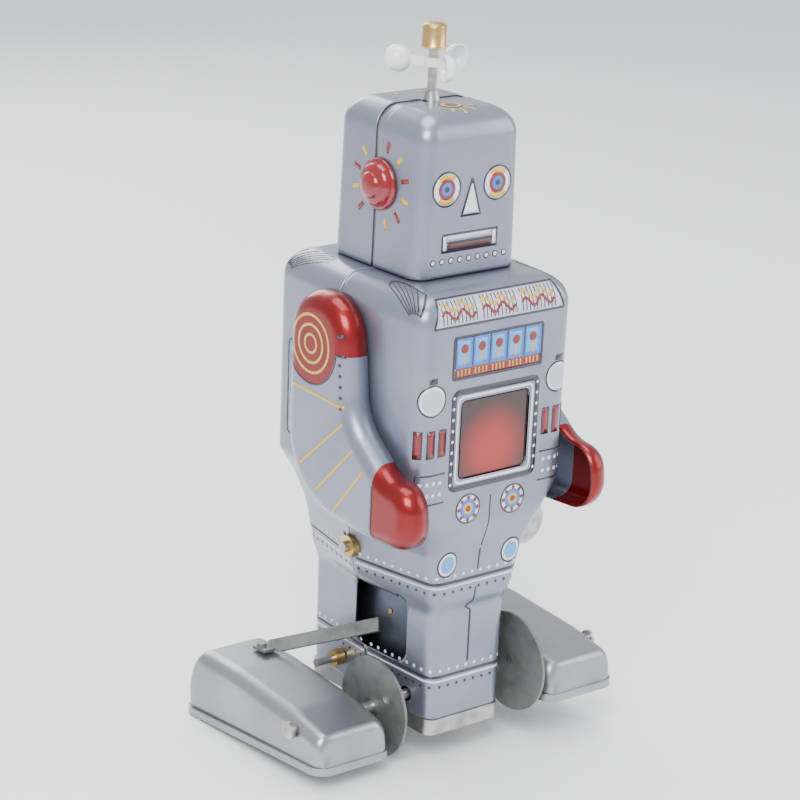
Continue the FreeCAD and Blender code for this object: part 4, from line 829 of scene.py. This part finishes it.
def makeArmPaint():
    # red above the shoulder line and its round lobe, and beyond the wrist line; bright tin between
    material = makeFinish("lithoTin", "armPaint")
    tree = material.node_tree
    shader = tree.nodes["Principled BSDF"]
    age = [node for node in tree.nodes if node.type == "GROUP"][0]
    place = addNode(tree, "ShaderNodeTexCoord", -1200, 500)
    split = addNode(tree, "ShaderNodeSeparateXYZ", -1000, 500)
    shoulder = addNode(tree, "ShaderNodeMath", -800, 600, operation="GREATER_THAN")
    shoulder.inputs[1].default_value = armPrint["shoulder"] * mm
    lobe = addNode(tree, "ShaderNodeVectorMath", -800, 450, operation="DISTANCE")
    flatten = addNode(tree, "ShaderNodeCombineXYZ", -900, 350)
    lobe.inputs[1].default_value = (0, armPrint["middle"][0] * mm, armPrint["middle"][1] * mm)
    near = addNode(tree, "ShaderNodeMath", -600, 450, operation="LESS_THAN")
    near.inputs[1].default_value = armPrint["lobe"] * mm
    wrist = addNode(tree, "ShaderNodeMath", -800, 250, operation="LESS_THAN")
    wrist.inputs[1].default_value = armPrint["wrist"] * mm
    either = addNode(tree, "ShaderNodeMath", -400, 500, operation="MAXIMUM")
    any3 = addNode(tree, "ShaderNodeMath", -250, 400, operation="MAXIMUM")
    mix = addNode(tree, "ShaderNodeMix", -100, 300, data_type="RGBA")
    mix.inputs["B"].default_value = (*finishes["redEnamel"][0], 1)
    link = tree.links.new
    link(place.outputs["Object"], split.inputs[0])
    link(split.outputs["Z"], shoulder.inputs[0])
    link(split.outputs["Y"], flatten.inputs["Y"])
    link(split.outputs["Z"], flatten.inputs["Z"])
    link(flatten.outputs[0], lobe.inputs[0])
    link(lobe.outputs["Value"], near.inputs[0])
    link(split.outputs["Y"], wrist.inputs[0])
    link(shoulder.outputs[0], either.inputs[0])
    link(near.outputs[0], either.inputs[1])
    link(either.outputs[0], any3.inputs[0])
    link(wrist.outputs[0], any3.inputs[1])
    link(any3.outputs[0], mix.inputs["Factor"])
    link(age.outputs["Color"], mix.inputs["A"])
    link(mix.outputs["Result"], shader.inputs["Base Color"])
    return material


armPaint = makeArmPaint()
for name, sign in (("right_arm", -1), ("left_arm", 1)):
    low, high = boxOf(name)
    armStart = high[0] if sign < 0 else low[0]
    points = np.stack([armStart + sign * height, spread[..., 0], spread[..., 1]], -1)
    makePiece(name.split("_")[0] + "ArmPressed", points.reshape(-1, 3), gridFaces(*height.shape), armPaint,
              "root", (name,), (0, -10, 90), armSet["tin"])
    ink = newFilm(lambda a, h: np.stack([armStart + sign * armHeight(a, h), a, h], -1),
                  lambda a, h: np.stack([np.full(np.shape(a), float(sign)), a * 0, h * 0], -1))
    for radius in armPrint["rings"]:
        lay(ink, "Yellow", ring(armPrint["middle"], radius - 0.4, radius + 0.4))
    lay(ink, "Black", ring(armPrint["middle"], 11.2, 11.8, 185, 355))
    lay(ink, "Black", bar(-12.4, -9.2, 112.2, 112.9))
    lay(ink, "Black", bar(-11.6, -9.6, 117.6, 118.6))
    for stripe in armPrint["stripes"]:
        lay(ink, "Yellow", line(stripe, armPrint["stripeWidth"]))
    lay(ink, "Black", line([(armPrint["wrist"], 65.0), (armPrint["wrist"], 80.5)], 0.7))
    for step in range(5):
        lay(ink, "Black", disc((-11.0 - 0.3 * step, 110 - 3.0 * step), 0.5, n=4))
    finishFilm(ink, name.split("_")[0] + "ArmPrint")
print("stage: arms made")

# the feet: a wedge over the sole, built level about the pin and then pitched toe up
footSet = {"pitch": 4.5, "front": -12.8, "rear": 53.9, "sole": 10.54, "low": 1.6, "toe": 11.0, "heel": 20.35,
           "round": 4.4, "tin": 0.5, "edge": 0.02}


def footPoints(low, high):
    # the side view is a rounded path; at each of its points the section is a wall, a quarter round,
    # a flat top and the same again, drawn in near the toe and the heel
    base = -footSet["sole"]
    rise = footSet["heel"] - footSet["toe"]
    corners = [(footSet["front"], base + footSet["low"], 0),
               (footSet["front"] + 1.3, base + footSet["toe"], 2.6),
               (footSet["front"] + 15, base + footSet["toe"] + 0.4 * rise, 30),
               (footSet["rear"] - 24, base + footSet["heel"] - 1.4, 30),
               (footSet["rear"] - 6, base + footSet["heel"], 4.5),
               (footSet["rear"] - 0.6, base + footSet["low"] + 8, 4.0),
               (footSet["rear"], base + footSet["low"], 0)]
    path = roundedPath(corners)
    stops = np.concatenate([[0], np.cumsum(np.linalg.norm(np.diff(path, axis=0), axis=1))])
    s = np.linspace(0, stops[-1], 120)
    y, z = (np.interp(s, stops, path[:, i]) for i in range(2))
    nearEnd = np.minimum(y - footSet["front"], footSet["rear"] - y)
    share = np.clip(nearEnd / footSet["round"], 0, 1)
    inset = footSet["round"] * (1 - np.sqrt(1 - (1 - share) ** 2)) * 0.75
    floor = base + footSet["low"]
    radius = np.minimum(footSet["round"], np.maximum(z - floor, 0.01))[:, None]
    swing = np.linspace(0, math.pi / 2, 12)[None]
    half = ((high - low) / 2 - inset)[:, None]
    wall = np.linspace(0, 1, 8)[None, :-1]
    top = z[:, None]
    sideZ = np.concatenate([floor + (top - radius - floor) * wall, top - radius * (1 - np.sin(swing))], 1)
    sideX = np.concatenate([half + 0 * wall, half - radius * (1 - np.cos(swing))], 1)
    middle = (half - radius) * np.linspace(1, -1, 16)[None, 1:-1]
    x = np.concatenate([sideX, middle, -sideX[:, ::-1]], 1) + (low + high) / 2
    height = np.concatenate([sideZ, top + 0 * middle, sideZ[:, ::-1]], 1)
    return np.stack([x, np.broadcast_to(y[:, None], x.shape), height], -1)


for side in ("right", "left"):
    low, high = boxOf(side + "_foot_cover")
    pin = jointPlace(side + "_foot_pivot")
    points = footPoints(low[0] + footSet["edge"], high[0] - footSet["edge"])
    pitch = math.radians(-footSet["pitch"])
    y, z = points[..., 1].copy(), points[..., 2].copy()
    points[..., 1] = y * math.cos(pitch) - z * math.sin(pitch) + pin[1]
    points[..., 2] = y * math.sin(pitch) + z * math.cos(pitch) + pin[2]
    makePiece(side + "FootCover", points.reshape(-1, 3), gridFaces(*points.shape[:2]), "brightTin",
              side + "_foot", (side + "_foot_cover",), ((low + high) / 2 - (0, 0, 3)), footSet["tin"])
print("stage: feet made")


# finishes of the CAD pieces that stay
# the pane's colour holds painted light: a painted red glow low on the pane that fades to painted shade
paneSet = {"rise": 9.0, "paintedGlowFade": (3.0, 15.0), "red": (0.34, 0.012, 0.008), "paintedShade": (0.030, 0.012, 0.008),
           "coat": 0.35}


def makePanePaintedGlow():  # painted light: the red is a painted glow, brightest at a point low on the pane, that fades to painted shade with the distance from it
    material = makeFinish("redEnamel", "panePaintedGlow")
    tree = material.node_tree
    shader = tree.nodes["Principled BSDF"]
    shader.inputs["Coat Weight"].default_value = paneSet["coat"]
    place = addNode(tree, "ShaderNodeTexCoord", -900, 500)
    away = addNode(tree, "ShaderNodeVectorMath", -700, 500, operation="DISTANCE")
    away.inputs[1].default_value = (0, paneLow[1] * mm, (paneLow[2] + paneSet["rise"]) * mm)
    span = addNode(tree, "ShaderNodeMapRange", -500, 500, interpolation_type="SMOOTHSTEP")
    span.inputs["From Min"].default_value = paneSet["paintedGlowFade"][0] * mm
    span.inputs["From Max"].default_value = paneSet["paintedGlowFade"][1] * mm
    mix = addNode(tree, "ShaderNodeMix", -250, 400, data_type="RGBA")
    mix.inputs["A"].default_value = (*paneSet["red"], 1)
    mix.inputs["B"].default_value = (*paneSet["paintedShade"], 1)
    tree.links.new(place.outputs["Object"], away.inputs[0])
    tree.links.new(away.outputs["Value"], span.inputs["Value"])
    tree.links.new(span.outputs["Result"], mix.inputs["Factor"])
    tree.links.new(mix.outputs["Result"], shader.inputs["Base Color"])
    return material


# the window pane's finish, with its painted glow and painted shade
materials["panePaintedGlow"] = makePanePaintedGlow()
nodeFinishes = {"window_pane": "panePaintedGlow", "base_tray": "steel", "neck_collar": "lithoTin",
                "antenna_stem": "steel", "antenna_ferrule": "steel", "wind_rotor": "whiteEnamel",
                "winding_key": "steel", "winding_arbor": "steel", "great_wheel": "brass",
                "second_wheel": "brass", "third_wheel": "brass", "drive_pinion": "brass",
                "spark_arbor": "steel", "spark_wheel": "zincSteel", "mainspring": "bluedSteel",
                "flint": "flintStone", "flint_spring": "bluedSteel", "frame_pillars": "steel",
                "guide_rod": "steel", "guide_bushes": "brass", "arbor_bushes": "brass",
                "drive_axle": "steel"}
wordFinishes = (("sole", "brightTin"), ("plate", "bluedSteel"), ("disc", "zincSteel"), ("bar", "zincSteel"))
for name, node in frame["nodes"].items():
    byWord = [finish for word, finish in wordFinishes if word in name] + ["steel"]
    finish = nodeFinishes.get(name, byWord[0])
    node.data.materials.clear()
    node.data.materials.append(materials[finish])
print("stage: CAD finishes set")


# stage: pale floor, soft studio light
floorSet = {"reach": 2.2, "colour": (0.93, 0.94, 0.95)}
ground = min(boxOf("right_foot_sole")[0][2], boxOf("right_crank_disc")[0][2])
reach = floorSet["reach"] / mm
floorGrid = np.stack(np.meshgrid(np.linspace(-reach, reach, 9), np.linspace(-reach, reach, 9)) +
                     [np.full((9, 9), ground)], -1)
floorMesh = bpy.data.meshes.new("floor")
floorMesh.from_pydata((floorGrid.reshape(-1, 3) * mm).tolist(), [], gridFaces(9, 9).tolist())
floor = bpy.data.objects.new("floor", floorMesh)
bpy.context.scene.collection.objects.link(floor)
floorPaint = bpy.data.materials.new("floorPaint")
floorPaint.use_nodes = True
floorPaint.node_tree.nodes["Principled BSDF"].inputs["Base Color"].default_value = (*floorSet["colour"], 1)
floorPaint.node_tree.nodes["Principled BSDF"].inputs["Roughness"].default_value = 0.6
floorMesh.materials.append(floorPaint)

world = bpy.data.worlds.new("studio")
world.use_nodes = True
world.node_tree.nodes["Background"].inputs["Color"].default_value = (0.90, 0.92, 0.95, 1)
world.node_tree.nodes["Background"].inputs["Strength"].default_value = 1.0
bpy.context.scene.world = world
# name, place in metres, size, watts
lamps = (("key", (-0.55, -0.50, 0.75), 0.5, 11.0), ("fill", (0.75, -0.55, 0.45), 0.7, 4.5),
         ("top", (0.0, 0.1, 0.95), 0.6, 6.0), ("rim", (0.2, 0.8, 0.5), 0.5, 4.0))
for name, place, width, watts in lamps:
    lamp = bpy.data.lights.new(name, "AREA")
    lamp.energy, lamp.size = watts, width
    holder = bpy.data.objects.new(name, lamp)
    bpy.context.scene.collection.objects.link(holder)
    towards = np.array(place) - (0, 0, 0.09)
    towards /= np.linalg.norm(towards)
    sideways = np.cross((0, 0, 1), towards) if abs(towards[2]) < 0.99 else np.array((1.0, 0, 0))
    sideways /= np.linalg.norm(sideways)
    matrix = np.eye(4)
    matrix[:3, 0], matrix[:3, 1], matrix[:3, 2] = sideways, np.cross(towards, sideways), towards
    matrix[:3, 3] = place
    holder.matrix_world = Matrix(matrix.tolist())
print("stage: floor and light set")
